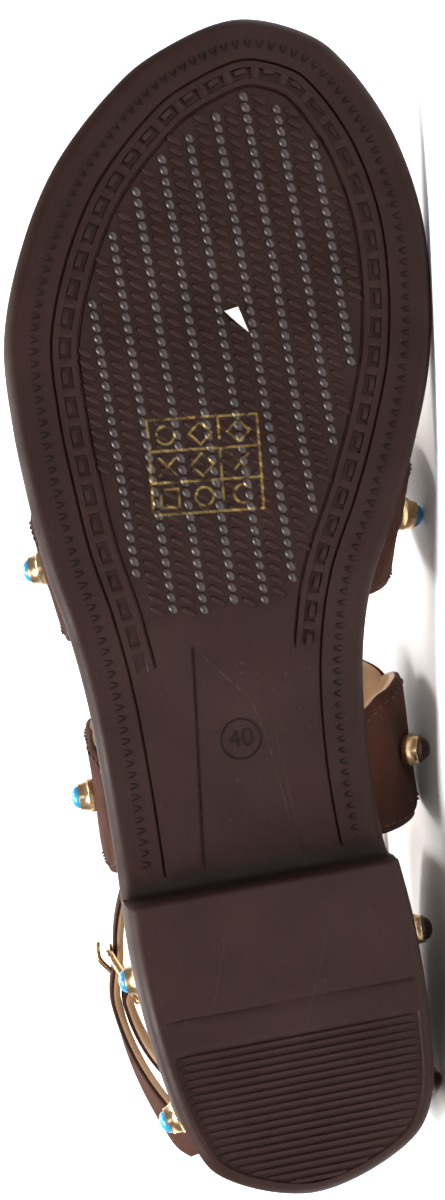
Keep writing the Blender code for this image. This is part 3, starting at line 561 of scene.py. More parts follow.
def closed_mesh(name, points, faces, finishes=None):
    """A mesh from points of the shoe's frame, its faces turned outwards."""
    mesh = bpy.data.meshes.new(name)
    mesh.from_pydata(in_model(points).tolist(), [], faces)
    if finishes is not None:
        mesh.polygons.foreach_set("material_index", np.asarray(finishes, np.int32))
    shape = bmesh.new()
    shape.from_mesh(mesh)
    bmesh.ops.remove_doubles(shape, verts=shape.verts, dist=0.001 * MM)
    bmesh.ops.recalc_face_normals(shape, faces=shape.faces)
    shape.to_mesh(mesh)
    shape.free()
    return mesh


def grid_faces(rows, columns, first=0, closed=False):
    """Quads between rows of points; closed joins each row's end to its start."""
    faces = []
    for r in range(rows - 1):
        for c in range(columns if closed else columns - 1):
            d = (c + 1) % columns
            low, high = first + r * columns, first + (r + 1) * columns
            faces.append((low + c, low + d, high + d, high + c))
    return faces


# %% [markdown]
# ## Shape of the sole
#
# The CAD model's tables give the outline and the side profile. They are repeated here, so that the fine
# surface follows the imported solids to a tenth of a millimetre.

# %% Sizes that the CAD model is made from
SOLE_LENGTH = 262 * MM
BALL_WIDTH = 97 * MM
HEEL_LENGTH = 69.5 * MM
HEEL_HEIGHT = 20 * MM
SOLE_THICKNESS = 6 * MM
TOE_SPRING = 6 * MM
FLANK_SLOPE = 2.6 * MM
SOLE_RIM = 0.5 * MM
CLEARANCE = 0.3 * MM
# the tread's rings move straight across between the second and the third of these stations
STRAIGHT_ROWS = (50 * MM, 58 * MM, 84 * MM, 92 * MM)
# only where the edge faces the side by more than this share, not at heel and toe
FACING_SIDE = 0.5
OUTLINE = (
    # station, lateral, medial
    (0.000, 0.000, 0.000), (0.030, 0.214, 0.246), (0.062, 0.263, 0.303), (0.120, 0.299, 0.326),
    (0.210, 0.323, 0.328), (0.300, 0.321, 0.306), (0.370, 0.323, 0.303), (0.440, 0.331, 0.319),
    (0.500, 0.350, 0.361), (0.560, 0.380, 0.443), (0.620, 0.394, 0.517), (0.680, 0.401, 0.576),
    (0.750, 0.390, 0.610), (0.820, 0.325, 0.614), (0.890, 0.215, 0.578), (0.950, 0.055, 0.502),
    (0.977, -0.054, 0.437), (1.000, -0.270, 0.270),
)
PROFILE = (
    # station, rise, spring
    (0.00, 1.00, 0.00), (0.15, 0.97, 0.00), (0.27, 0.84, 0.00), (0.36, 0.60, 0.00), (0.45, 0.32, 0.00),
    (0.53, 0.10, 0.00), (0.60, 0.00, 0.00), (0.78, 0.00, 0.00), (0.88, 0.00, 0.30), (1.00, 0.00, 1.00),
)
BREAST = (
    # ahead of the heel, share of the waist's height
    (-0.5 * MM, 0.00), (0.0 * MM, 0.05), (0.7 * MM, 0.88), (2.0 * MM, 0.97), (4.0 * MM, 1.00),
)

# %% Curves and tables


def smooth(table, column, at):
    """Value of a table's column at a first-column value: a cubic with no overshoot."""
    rows = np.array(table, float)
    x, y = rows[:, 0], rows[:, column]
    step = np.diff(x)
    slope = np.diff(y) / step
    turning = slope[:-1] * slope[1:] > 0
    tangent = np.zeros(len(x))
    both = np.where(turning, slope[:-1] + slope[1:], 1.0)
    tangent[1:-1] = np.where(turning, 2 * slope[:-1] * slope[1:] / both, 0.0)
    tangent[0], tangent[-1] = slope[0], slope[-1]
    at = np.clip(at, x[0], x[-1])
    span = np.clip(np.searchsorted(x, at, side="right") - 1, 0, len(step) - 1)
    t = (at - x[span]) / step[span]
    return (
        y[span] * (1 + 2 * t) * (1 - t) ** 2
        + y[span + 1] * t**2 * (3 - 2 * t)
        + tangent[span] * step[span] * t * (1 - t) ** 2
        - tangent[span + 1] * step[span] * t**2 * (1 - t)
    )


def closed_curve(points, per_span=32):
    """A round closed curve through the points (Catmull-Rom with chord lengths)."""
    p = np.array(points, float)
    before, after, beyond = np.roll(p, 1, 0), np.roll(p, -1, 0), np.roll(p, -2, 0)
    curve = []
    for a, b, c, d in zip(before, p, after, beyond):
        k0, k1, k2 = (np.linalg.norm(v) ** 0.5 for v in (b - a, c - b, d - c))
        m1 = (b - a) / k0 - (c - a) / (k0 + k1) + (c - b) / k1
        m2 = (c - b) / k1 - (d - b) / (k1 + k2) + (d - c) / k2
        for t in np.arange(per_span) / per_span:
            curve.append(
                b * (1 + 2 * t) * (1 - t) ** 2
                + c * t**2 * (3 - 2 * t)
                + m1 * k1 * t * (1 - t) ** 2
                - m2 * k1 * t**2 * (1 - t)
            )
    return np.array(curve)


def sole_sides():
    """The sole's edge as a lateral and a medial branch, both from heel to toe."""
    lateral = [(row[1] * BALL_WIDTH, row[0] * SOLE_LENGTH) for row in OUTLINE]
    medial = [(-row[2] * BALL_WIDTH, row[0] * SOLE_LENGTH) for row in OUTLINE[-2:0:-1]]
    curve = closed_curve(lateral + medial)
    heel, toe = np.argmin(curve[:, 1]), np.argmax(curve[:, 1])
    curve = np.roll(curve, -heel, 0)
    toe = (toe - heel) % len(curve)
    return curve[: toe + 1], np.vstack([curve[:1], curve[toe:][::-1]])


LATERAL_SIDE, MEDIAL_SIDE = sole_sides()


def side_x(branch, y):
    return np.interp(y, branch[:, 1], branch[:, 0])


def waist_height(y):
    """Height of the sole's underside above the ground, left without its heel."""
    station = np.asarray(y) / SOLE_LENGTH
    lift = HEEL_HEIGHT - SOLE_THICKNESS
    return lift * smooth(PROFILE, 1, station) + TOE_SPRING * smooth(PROFILE, 2, station)


def top_height(y):
    return waist_height(y) + SOLE_THICKNESS


def tread_height(y):
    return waist_height(y) * np.interp(np.asarray(y) - HEEL_LENGTH, *np.array(BREAST).T)


def ramp(value, low, high):
    """0 below low, 1 above high, and an even slope between."""
    return np.clip((np.asarray(value, float) - low) / (high - low), 0.0, 1.0)


def outline_ring(inset, stations):
    """Plan points at an inset from the edge: heel tip, lateral side, toe tip, medial side back.

    Near the heel's front they move straight across, so that its steep face isn't cut at a slant.
    """
    inner = stations[1:-1]
    lateral = np.stack([side_x(LATERAL_SIDE, inner), inner], 1)
    medial = np.stack([side_x(MEDIAL_SIDE, inner), inner], 1)[::-1]
    ring = np.vstack([LATERAL_SIDE[:1], lateral, LATERAL_SIDE[-1:], medial])
    along = np.roll(ring, -1, 0) - np.roll(ring, 1, 0)
    along /= np.linalg.norm(along, axis=1)[:, None]
    inward = np.stack([-along[:, 1], along[:, 0]], 1)
    level = np.zeros_like(inward)
    level[:, 0] = 1 / np.where(np.abs(inward[:, 0]) > FACING_SIDE, inward[:, 0], 1)
    begin, full, fade, end = STRAIGHT_ROWS
    share = ramp(ring[:, 1], begin, full) * (1 - ramp(ring[:, 1], fade, end))
    inward += (level - inward) * share[:, None]
    return ring + inset * inward


# %% [markdown]
# ## The cut tread
#
# The tread is cut into the sole by less than a millimetre: a groove round waist and forefoot, a ladder
# band inside it, a sunk field for the woven pattern, a long shallow panel in the waist with a line at its
# outer edge, a line across the heel and a sunk bed for the heel's ribs. The surface is a set of rings that
# follow the outline, with a grid inside the last one. Each point's height comes from one function of
# where it is. Cutting with Booleans would give thin slivers all along such shallow grooves.

# %% Relief of the tread
# grooves: inner and outer inset from the edge, depth
GROOVE = (9.85 * MM, 10.55 * MM, 0.9 * MM)
POCKETS = (11.9 * MM, 14.6 * MM, 0.6 * MM)
INNER_GROOVE = (15.8 * MM, 16.6 * MM, 0.9 * MM)
GROOVE_SLOPE = 0.25 * MM
SOFT_EDGE = 0.4 * MM
WEAVE_DEPTH = 0.55 * MM
BAND_START = 121 * MM
WEAVE_START = 130 * MM
# ahead of the heel's front, where waist relief begins and is at its full depth
WAIST_START = (4 * MM, 5 * MM)
# inset at the sides, Y of the front edge, depth
RIB_BED = (2.7 * MM, 36.0 * MM, 0.7 * MM)
# Y of the rear and of the front edge, depth
HEEL_LINE = (42.6 * MM, 43.6 * MM, 0.5 * MM)
LINE_SLOPE = 0.3 * MM
PANEL_DEPTH = 0.3 * MM
PANEL_EDGE = 0.3 * MM
PANEL_TIP = 124 * MM
PANEL_HALF_WIDTHS = (12 * MM, 7 * MM)
# width and depth of the line at the panel's outer edge
PANEL_LINE = (0.45 * MM, 0.7 * MM)
PANEL_SHIFT = 0.5 * MM
# rings deeper than this in the heel keep only this share of what they go beyond it, up to this station
HEEL_REACH = 5.6 * MM
HEEL_CROWDING = 0.12
HEEL_CROWDED = 48 * MM


def panel_half_width(y):
    """Half the width of the waist's sunk panel: it widens from its straight front edge to the heel."""
    return np.interp(y, [HEEL_LENGTH, PANEL_TIP], PANEL_HALF_WIDTHS)


def trough(inset, sizes):
    """Depth of a groove between two insets, with sloping sides."""
    inner, outer, depth = sizes
    rise = ramp(inset, inner, inner + GROOVE_SLOPE)
    return depth * rise * (1 - ramp(inset, outer - GROOVE_SLOPE, outer))


def relief(x, y, inset):
    """How deep the tread is cut at a point."""
    front = ramp(y, HEEL_LENGTH + WAIST_START[0], HEEL_LENGTH + WAIST_START[1])
    band = ramp(y, BAND_START, BAND_START + SOFT_EDGE)
    depth = trough(inset, GROOVE) * front + (trough(inset, POCKETS) + trough(inset, INNER_GROOVE)) * band
    field = ramp(inset, INNER_GROOVE[1] - SOFT_EDGE / 2, INNER_GROOVE[1])
    depth += WEAVE_DEPTH * field * ramp(y, WEAVE_START, WEAVE_START + SOFT_EDGE)
    side, fore, deep = RIB_BED
    across = ramp(inset, side, side + SOFT_EDGE)
    depth += deep * across * (1 - ramp(y, fore, fore + SOFT_EDGE))
    rear_line, fore_line, line_depth = HEEL_LINE
    line = ramp(y, rear_line, rear_line + LINE_SLOPE) * (1 - ramp(y, fore_line - LINE_SLOPE, fore_line))
    depth += line_depth * line * across
    inside = ramp(panel_half_width(y) - np.abs(x - PANEL_SHIFT), 0, PANEL_EDGE)
    off = np.abs(panel_half_width(y) - (x - PANEL_SHIFT))
    depth += PANEL_LINE[1] * (1 - ramp(off, 0, PANEL_LINE[0])) * front * (y < PANEL_TIP)
    return depth + PANEL_DEPTH * inside * front * ramp(PANEL_TIP - y, 0, PANEL_EDGE)


def real_inset(inset, y):
    """The heel's corners are too tight for deep rings, so there they lie close together."""
    pressed = np.minimum(inset, HEEL_REACH + HEEL_CROWDING * np.maximum(inset - HEEL_REACH, 0))
    return pressed + (inset - pressed) * ramp(y, HEEL_CROWDED, HEEL_LENGTH)


# %% Stations along the sole
EVEN_STATIONS = 250
CLOSEST_STATIONS = 0.25 * MM


def sole_stations():
    """Stations close together at heel, toe and wherever the relief has an edge."""
    low, high = LATERAL_SIDE[0, 1], LATERAL_SIDE[-1, 1]
    even = low + (high - low) * (1 - np.cos(np.linspace(0, math.pi, EVEN_STATIONS))) / 2
    edges = []
    heel_edges = [RIB_BED[1], HEEL_LINE[0], HEEL_LINE[1] - LINE_SLOPE]
    for at in (*heel_edges, BAND_START, WEAVE_START, PANEL_TIP - PANEL_EDGE):
        edges += [at, at + SOFT_EDGE]
    edges += [HEEL_LENGTH + beyond for beyond, _ in BREAST] + [HEEL_LENGTH + WAIST_START[1]]
    edges = np.array(edges)
    away = np.abs(even[:, None] - edges[None, :]).min(1) > CLOSEST_STATIONS
    return np.unique(np.concatenate([even[away], edges]))


stations = sole_stations()
print("stations along the sole:", len(stations))

# %% Build the sole
ACROSS = 110


def tread_insets():
    """Insets of the tread's rings, two at each edge of the relief."""
    insets = [FLANK_SLOPE, RIB_BED[0], RIB_BED[0] + SOFT_EDGE, 7 * MM]
    for inner, outer, _ in (GROOVE, POCKETS, INNER_GROOVE):
        insets += [inner, inner + GROOVE_SLOPE, outer - GROOVE_SLOPE, outer]
    return insets


def sole_rings():
    """Rings of the sole from the inside of its tread over the flank to its top."""
    rings = []
    edge = outline_ring(0, stations)
    for inset in reversed(tread_insets()):
        insets = real_inset(inset, edge[:, 1])
        plan = outline_ring(insets[:, None], stations)
        z = tread_height(plan[:, 1]) + relief(plan[:, 0], plan[:, 1], insets)
        rings.append(np.column_stack([plan, z]))
    flank = (
        # inset, share of the thickness, from the tread or from the top
        (0.72 * FLANK_SLOPE, 0.02, True), (0.40 * FLANK_SLOPE, 0.12, True), (0.15 * FLANK_SLOPE, 0.26, True),
        (0.0, 0.40, True), (0.0, -0.30, False), (0.5 * SOLE_RIM, -0.08, False), (SOLE_RIM, 0.0, False),
        (2.2 * SOLE_RIM, 0.0, False),
    )
    for inset, share, low in flank:
        plan = outline_ring(inset, stations)
        level = tread_height(plan[:, 1]) if low else top_height(plan[:, 1])
        rings.append(np.column_stack([plan, level + share * SOLE_THICKNESS]))
    return rings


def filled_body(rings, grid_ring, cap_ring, across, level):
    """Points and faces of a body of rings: a grid fills one end, and strips close the other one.

    The level gives the height of the grid's points from their X and Y.
    """
    count = len(rings[0])
    half = count // 2
    base, cap = grid_ring * count, cap_ring * count
    faces = grid_faces(len(rings), count, closed=True)
    share = np.linspace(0, 1, across)[1:-1]
    rows = []
    for a, b in zip(rings[grid_ring][1:half], rings[grid_ring][half + 1 :][::-1]):
        line = a[None, :2] + share[:, None] * (b - a)[None, :2]
        rows.append(np.column_stack([line, level(line[:, 0], line[:, 1])]))
    first, width = len(rings) * count, len(share)
    for r in range(len(rows) - 1):
        low, high = first + r * width, first + (r + 1) * width
        lateral, medial = base + 1 + r, base + count - 1 - r
        faces.append((lateral, low, high, lateral + 1))
        faces += [(low + c, low + c + 1, high + c + 1, high + c) for c in range(width - 1)]
        faces.append((low + width - 1, medial, medial - 1, high + width - 1))
    toe_row = first + (len(rows) - 1) * width
    heel_line = [base + 1, *range(first, first + width), base + count - 1]
    toe_line = [base + half - 1, *range(toe_row, toe_row + width), base + half + 1]
    faces += [(base, a, b) for a, b in zip(heel_line, heel_line[1:])]
    faces += [(base + half, b, a) for a, b in zip(toe_line, toe_line[1:])]
    faces.append((cap, cap + 1, cap + count - 1))
    faces += [(cap + i, cap + i + 1, cap + count - i - 1, cap + count - i) for i in range(1, half - 1)]
    faces.append((cap + half - 1, cap + half, cap + half + 1))
    return np.vstack([*rings, *rows]), faces


def tread_level(x, y):
    """Height of the tread inside its innermost ring, where the inset no longer matters."""
    return tread_height(y) + relief(x, y, np.full(len(x), 1.0))


def build_sole():
    rings = sole_rings()
    points, faces = filled_body(rings, 0, len(rings) - 1, ACROSS, tread_level)
    return closed_mesh("moulded_sole", points, faces)


as_piece(build_sole(), "moulded_sole", ["outsole"], [dark_rubber], sharp=50)

# %% [markdown]
# ## Small shapes that repeat
#
# The tread has hundreds of small knobs in rows, and the upper has hundreds of stitches. Geometry Nodes
# place them: one tree walks along a path at an even spacing, the other puts a shape on each point that a
# mesh gives, with that point's own turn and size. Modelling them one by one would bury the few numbers
# that matter, such as the pitch of a row. The result is made a plain mesh, so nothing live is left.

# %% Two trees that repeat a shape


def empty_tree(name, sockets):
    """A Geometry Nodes tree with its inputs, and its group nodes."""
    tree = bpy.data.node_groups.new(name, "GeometryNodeTree")
    shared = (
        ("Geometry", "NodeSocketGeometry"), ("Shape", "NodeSocketObject"), ("Finish", "NodeSocketMaterial"),
    )
    for label, kind in (*shared, *sockets):
        tree.interface.new_socket(label, in_out="INPUT", socket_type=kind)
    tree.interface.new_socket("Geometry", in_out="OUTPUT", socket_type="NodeSocketGeometry")
    return tree, node(tree, "NodeGroupInput").outputs, node(tree, "NodeGroupOutput").inputs


def end_tree(tree, given, result, points, turned, size):
    """Put the shape on the points, make the copies real and give them their finish."""
    shape = node(tree, "GeometryNodeObjectInfo", {"Object": given["Shape"]}).outputs["Geometry"]
    values = {"Points": points, "Instance": shape, "Rotation": turned, "Scale": size}
    copies = node(tree, "GeometryNodeInstanceOnPoints", values).outputs["Instances"]
    real = node(tree, "GeometryNodeRealizeInstances", {"Geometry": copies}).outputs["Geometry"]
    values = {"Geometry": real, "Material": given["Finish"]}
    tree.links.new(node(tree, "GeometryNodeSetMaterial", values).outputs["Geometry"], result["Geometry"])


def named_vector(tree, name):
    values = {"Name": name}
    found = node(tree, "GeometryNodeInputNamedAttribute", values, data_type="FLOAT_VECTOR")
    return found.outputs["Attribute"]


def path_tree():
    """Copies along a path: X runs along it, Z follows the attribute called out."""
    tree, given, result = empty_tree("copies_along_path", [("Spacing", "NodeSocketFloat")])
    curve = node(tree, "GeometryNodeMeshToCurve", {"Mesh": given["Geometry"]}).outputs["Curve"]
    values = {"Curve": curve, "Length": given["Spacing"]}
    points = node(tree, "GeometryNodeResampleCurve", values, mode="LENGTH").outputs["Curve"]
    tangent = node(tree, "GeometryNodeInputTangent").outputs["Tangent"]
    values = {"Vector": named_vector(tree, "out")}
    upright = node(tree, "FunctionNodeAlignRotationToVector", values, axis="Z").outputs["Rotation"]
    values = {"Rotation": upright, "Vector": tangent}
    kind = "FunctionNodeAlignRotationToVector"
    turned = node(tree, kind, values, axis="X", pivot_axis="Z").outputs["Rotation"]
    end_tree(tree, given, result, points, turned, (1, 1, 1))
    return tree


def point_tree():
    """Copies on points with their own turn and size, slightly uneven as moulded or set by hand."""
    sockets = [("Uneven", "NodeSocketFloat"), ("Seed", "NodeSocketInt")]
    tree, given, result = empty_tree("copies_at_points", sockets)
    values = {"Euler": named_vector(tree, "turn")}
    turned = node(tree, "FunctionNodeEulerToRotation", values).outputs["Rotation"]
    most = maths(tree, "ADD", 1.0, given["Uneven"])
    least = maths(tree, "SUBTRACT", 1.0, given["Uneven"])
    values = {2: least, 3: most, "Seed": given["Seed"]}
    chance = node(tree, "FunctionNodeRandomValue", values, data_type="FLOAT").outputs[1]
    values = {0: named_vector(tree, "size"), "Scale": chance}
    size = node(tree, "ShaderNodeVectorMath", values, operation="SCALE").outputs[0]
    end_tree(tree, given, result, given["Geometry"], turned, size)
    return tree


ALONG_PATH = path_tree()
AT_POINTS = point_tree()

# %% Unit shapes and their copies


def lofted(name, rings):
    """A closed shape between rings of points, in its own small frame; its ends are flat."""
    rings = np.array(rings, float)
    count = rings.shape[1]
    faces = grid_faces(len(rings), count, closed=True)
    faces += [tuple(range(count)), tuple(range((len(rings) - 1) * count, len(rings) * count))]
    mesh = bpy.data.meshes.new(name)
    mesh.from_pydata(rings.reshape(-1, 3).tolist(), [], faces)
    shape = bmesh.new()
    shape.from_mesh(mesh)
    bmesh.ops.recalc_face_normals(shape, faces=shape.faces)
    shape.to_mesh(mesh)
    shape.free()
    return mesh


def knob(name, levels, length, width, corners=10, round_off=2.0, slant=0.0):
    """A low knob: levels are (height, share of its size) pairs, slant turns it in its plane."""
    rings = []
    for height, share in levels:
        ring = []
        for angle in np.arange(corners) * 2 * math.pi / corners + math.pi / corners:
            c, s = math.cos(angle), math.sin(angle)
            x = math.copysign(abs(c) ** (2 / round_off), c) * share * length / 2
            y = math.copysign(abs(s) ** (2 / round_off), s) * share * width / 2
            ring.append((
                x * math.cos(slant) - y * math.sin(slant),
                x * math.sin(slant) + y * math.cos(slant),
                height,
            ))
        rings.append(ring)
    return lofted(name, rings)


def joined(name, meshes):
    """Several small meshes as one."""
    shape = bmesh.new()
    for mesh in meshes:
        shape.from_mesh(mesh)
    made = bpy.data.meshes.new(name)
    shape.to_mesh(made)
    shape.free()
    return made


def copies(name, tree, base, shape, finish, slot, nodes=(), sharp=40, **values):
    """Run a tree on a base mesh and keep the result as one piece."""
    holder = bpy.data.objects.new(name + "_base", base)
    unit = bpy.data.objects.new(name + "_unit", shape)
    for item in (holder, unit):
        bpy.context.scene.collection.objects.link(item)
    repeat = holder.modifiers.new("repeat", "NODES")
    repeat.node_group = tree
    socket = {
        item.name: item.identifier
        for item in tree.interface.items_tree
        if item.item_type == "SOCKET" and item.in_out == "INPUT"
    }
    for label, value in {"Shape": unit, "Finish": finish, **values}.items():
        repeat[socket[label]] = value
    graph = bpy.context.evaluated_depsgraph_get()
    mesh = bpy.data.meshes.new_from_object(holder.evaluated_get(graph), depsgraph=graph)
    mesh.name = name
    for item in (holder, unit):
        bpy.data.objects.remove(item)
    return as_piece(mesh, name, nodes, [finish], sharp)


def path_base(paths, outs):
    """A mesh of open lines, with the direction that its copies stand in."""
    base = bpy.data.meshes.new("path")
    edges, start = [], 0
    for path in paths:
        edges += [(start + i, start + i + 1) for i in range(len(path) - 1)]
        start += len(path)
    base.from_pydata(in_model(np.vstack(paths)).tolist(), edges, [])
    out = base.attributes.new("out", "FLOAT_VECTOR", "POINT")
    directions = np.vstack(outs) @ np.array(TO_MODEL)[:3, :3].T
    out.data.foreach_set("vector", directions.astype(np.float32).ravel())
    return base


def point_base(points, turns, sizes):
    """A mesh of loose points with a turn (a matrix in the shoe's frame) and a size for each."""
    base = bpy.data.meshes.new("points")
    base.from_pydata(in_model(points).tolist(), [], [])
    to_model = TO_MODEL.to_3x3()
    eulers = [tuple((to_model @ matrix).to_euler()) for matrix in turns]
    for label, rows in (("turn", eulers), ("size", sizes)):
        attribute = base.attributes.new(label, "FLOAT_VECTOR", "POINT")
        attribute.data.foreach_set("vector", np.array(rows, np.float32).ravel())
    return base


# %% [markdown]
# ## Woven field, ladder band and ribs
#
# Under the ball the tread copies a woven mat: columns of small pointed beads, and between them columns of
# slanted strands. A band like a ladder frames it, with a block in each pocket, and short arcs stand
# outside its groove. The heel has straight ribs across. All of them face down from the sole, so their
# unit shapes have X towards the toe, Y towards the outer side and Z down.

# %% Beads and strands
DOWNWARDS = Matrix(((0, 1, 0), (1, 0, 0), (0, 0, -1)))
COLUMN_PITCH = 6.9 * MM
FIRST_COLUMN = 3.6 * MM
COLUMNS = range(-9, 9)
BEAD_PITCH = 2.6 * MM
FIRST_ROW = 1.6 * MM
BEAD_MARGIN = 1.5 * MM
STRAND_MARGIN = 0.9 * MM


def edge_at(inset):
    """The outline at an inset, as a lateral and a medial branch with growing Y."""
    ring = outline_ring(real_inset(inset, outline_ring(0, stations)[:, 1])[:, None], stations)
    half = len(ring) // 2
    return ring[: half + 1], np.vstack([ring[:1], ring[half:][::-1]])


def field_points(offset, margin):
    """Points of the columns that lie in the field, column by column."""
    lateral, medial = edge_at(INNER_GROOVE[1] + margin)
    last = lateral[-1, 1]
    points = []
    for column in COLUMNS:
        x = FIRST_COLUMN + offset + column * COLUMN_PITCH
        start = WEAVE_START + FIRST_ROW + (column % 2) * 0.5 * BEAD_PITCH
        for y in np.arange(start, last, BEAD_PITCH):
            if side_x(medial, y) < x < side_x(lateral, y):
                points.append((x, y, float(tread_height(y)) + WEAVE_DEPTH))
    return points


def woven(name, points, shape, finish, uneven, seed):
    """Knobs at points of the field, all turned the same way."""
    base = point_base(points, [DOWNWARDS] * len(points), [(1, 1, 1)] * len(points))
    copies(name, AT_POINTS, base, shape, finish, "brown_sole", sharp=75, Uneven=uneven, Seed=seed)
    print(name, len(points))


bead_shape = knob(
    "bead", ((-0.2 * MM, 1.0), (0.25 * MM, 0.96), (0.55 * MM, 0.74), (0.78 * MM, 0.36)),
    2.9 * MM, 1.9 * MM, corners=10, round_off=1.9, slant=math.radians(30),
)
woven("woven_beads", field_points(0, BEAD_MARGIN), bead_shape, rubbed_and_highlit_rubber, uneven=0.05, seed=3)
strand_shape = knob(
    "strand", ((-0.2 * MM, 1.0), (0.2 * MM, 0.94), (0.45 * MM, 0.70), (0.58 * MM, 0.30)),
    4.3 * MM, 1.5 * MM, corners=10, slant=math.radians(50),
)
strands = field_points(COLUMN_PITCH / 2, STRAND_MARGIN)
woven("woven_strands", strands, strand_shape, dark_rubber, uneven=0.06, seed=5)

# %% Ladder band and arcs
RUNG_PITCH = 6.4 * MM
RUNG = (1.9 * MM, 2.9 * MM)
BLOCK = (2.6 * MM, 1.2 * MM)
BLOCK_SHIFT = 0.45 * MM
BAND_MARGIN = 3 * MM
ARC_PITCH = 2.6 * MM
ARC_INSET = 7.0 * MM
ARC_MARGIN = 7 * MM
ARC_RADIUS = 1.15 * MM
ARC_SPAN = 1.3
ARC_TAPER = 0.35
ARC_BULGE = 1.7
ARC_SQUEEZE = 0.62
ARC_LEVELS = (
    # height, half the width of the arc's line, in mm
    (-0.15, 0.30), (0.12, 0.26), (0.20, 0.14),
)


def tread_path(inset, from_y, rise=0.0):
    """Path on the tread at an inset: up the lateral side, round the toe and down the medial side."""
    lateral, medial = edge_at(inset)
    plan = np.vstack([lateral[lateral[:, 1] > from_y], medial[medial[:, 1] > from_y][-2::-1]])
    return np.column_stack([plan, tread_height(plan[:, 1]) + rise])


def along_tread(name, path, shape, finish, pitch, sharp=40):
    """Copies of a shape along a path on the tread, facing down from it."""
    base = path_base([path], [np.tile((0.0, 0.0, -1.0), (len(path), 1))])
    copies(name, ALONG_PATH, base, shape, finish, "brown_sole", sharp=sharp, Spacing=pitch)


def shifted(mesh, by):
    mesh.transform(Matrix.Translation(by))
    return mesh


flat_top = ((-0.2 * MM, 1.0), (0.52 * MM, 1.0), (0.60 * MM, 0.9))
rung_shape = joined("rung", [
    knob("rung_bar", flat_top, *RUNG, corners=12, round_off=9),
    shifted(knob("rung_block", flat_top, *BLOCK, corners=12, round_off=9), (RUNG_PITCH / 2, BLOCK_SHIFT, 0)),
])
ladder = tread_path((POCKETS[0] + POCKETS[1]) / 2, BAND_START + BAND_MARGIN, POCKETS[2])
along_tread("ladder_band", ladder, rung_shape, dark_rubber, RUNG_PITCH)


def arc_shape():
    """A short low arc that opens towards the sole's edge."""
    turns = np.linspace(-ARC_SPAN, ARC_SPAN, 7)
    rings = []
    for height, half in ARC_LEVELS:
        ring = []
        for side, order in ((1, turns), (-1, turns[::-1])):
            for angle in order:
                reach = ARC_RADIUS + side * half * MM * (1 - ARC_TAPER * abs(angle))
                across = ARC_BULGE * (ARC_RADIUS - reach * math.cos(angle))
                ring.append((ARC_SQUEEZE * reach * math.sin(angle), across, height * MM))
        rings.append(ring)
    return lofted("arc", rings)


arcs = tread_path(ARC_INSET, HEEL_LENGTH + ARC_MARGIN)
# the arcs take the darkest rubber: painted shade, as on the size mark
along_tread("margin_arcs", arcs, arc_shape(), shaded_rubber, ARC_PITCH, sharp=75)

# %% Ribs of the heel
RIB_PITCH = 1.72 * MM
RIB_WIDTH = 1.15 * MM
FIRST_RIB = 1.3 * MM
RIB_MARGIN = 1.0 * MM


def rib_rows():
    """Middle and half width of each rib, between the heel's smooth margins."""
    lateral, medial = edge_at(RIB_BED[0])
    rows = []
    for y in np.arange(RIB_BED[1] - FIRST_RIB, lateral[0, 1] + RIB_MARGIN, -RIB_PITCH):
        right, left = side_x(lateral, y), side_x(medial, y)
        rows.append(((right + left) / 2, y, (right - left) / 2))
    return rows


rib_shape = knob(
    "rib", ((-0.1 * MM, 1.0), (0.45 * MM, 0.92), (0.66 * MM, 0.62)), RIB_WIDTH, 2.0, corners=12, round_off=8
)
ribs = rib_rows()
rib_points = [(x, y, RIB_BED[2]) for x, y, _ in ribs]
rib_sizes = [(1, half, 1) for _, _, half in ribs]
rib_base = point_base(rib_points, [DOWNWARDS] * len(ribs), rib_sizes)
copies("heel_ribs", AT_POINTS, rib_base, rib_shape, dark_rubber, "brown_sole", Uneven=0.0, Seed=1)
print("ribs:", len(ribs))

# %% [markdown]
# ## Size mark
#
# The waist carries the size number in a ring. On the real sole they are thin cut lines that look dark.
# Here they are low raised lines in the darkest rubber, which is painted shade in place of the shade in the
# cuts: the number is a text object made into a mesh, and the ring is a thin rod. Lines this thin, cut into
# the tread, would need a far finer surface to look so.

# %% Ring and number on the waist
MARK_PLACE = Vector((-0.5, 101.6)) * MM
MARK_RADIUS = 4.5 * MM
MARK_WIRE = 0.26 * MM
MARK_FLATNESS = 0.7
LETTER_HEIGHT = 5.9 * MM
LETTER_RISE = 0.12 * MM
LETTER_BEVEL = 0.05 * MM
LETTER_THINNED = -0.1 * MM


def mark_level(y):
    return float(tread_height(y)) + PANEL_DEPTH


def mark_ring():
    """Sections of the ring round the number: eight points each, half sunk in the sole."""
    rings = []
    for angle in np.linspace(0, 2 * math.pi, 49)[:-1]:
        away = np.array((math.cos(angle), math.sin(angle)))
        centre = np.array(MARK_PLACE) + MARK_RADIUS * away
        ring = []
        for turned in np.linspace(0, 2 * math.pi, 9)[:-1]:
            plan = centre + away * MARK_WIRE * math.cos(turned)
            ring.append((*plan, mark_level(plan[1]) - MARK_FLATNESS * MARK_WIRE * math.sin(turned)))
        rings.append(ring)
    return np.array(rings)


ring_points = mark_ring()
tube = ring_points.shape[1]
ring_faces = grid_faces(len(ring_points), tube, closed=True)
last = (len(ring_points) - 1) * tube
ring_faces += [(last + c, last + (c + 1) % tube, (c + 1) % tube, c) for c in range(tube)]
ring_mesh = closed_mesh("size_ring", ring_points.reshape(-1, 3), ring_faces)
as_piece(ring_mesh, "size_ring", [], [shaded_rubber])

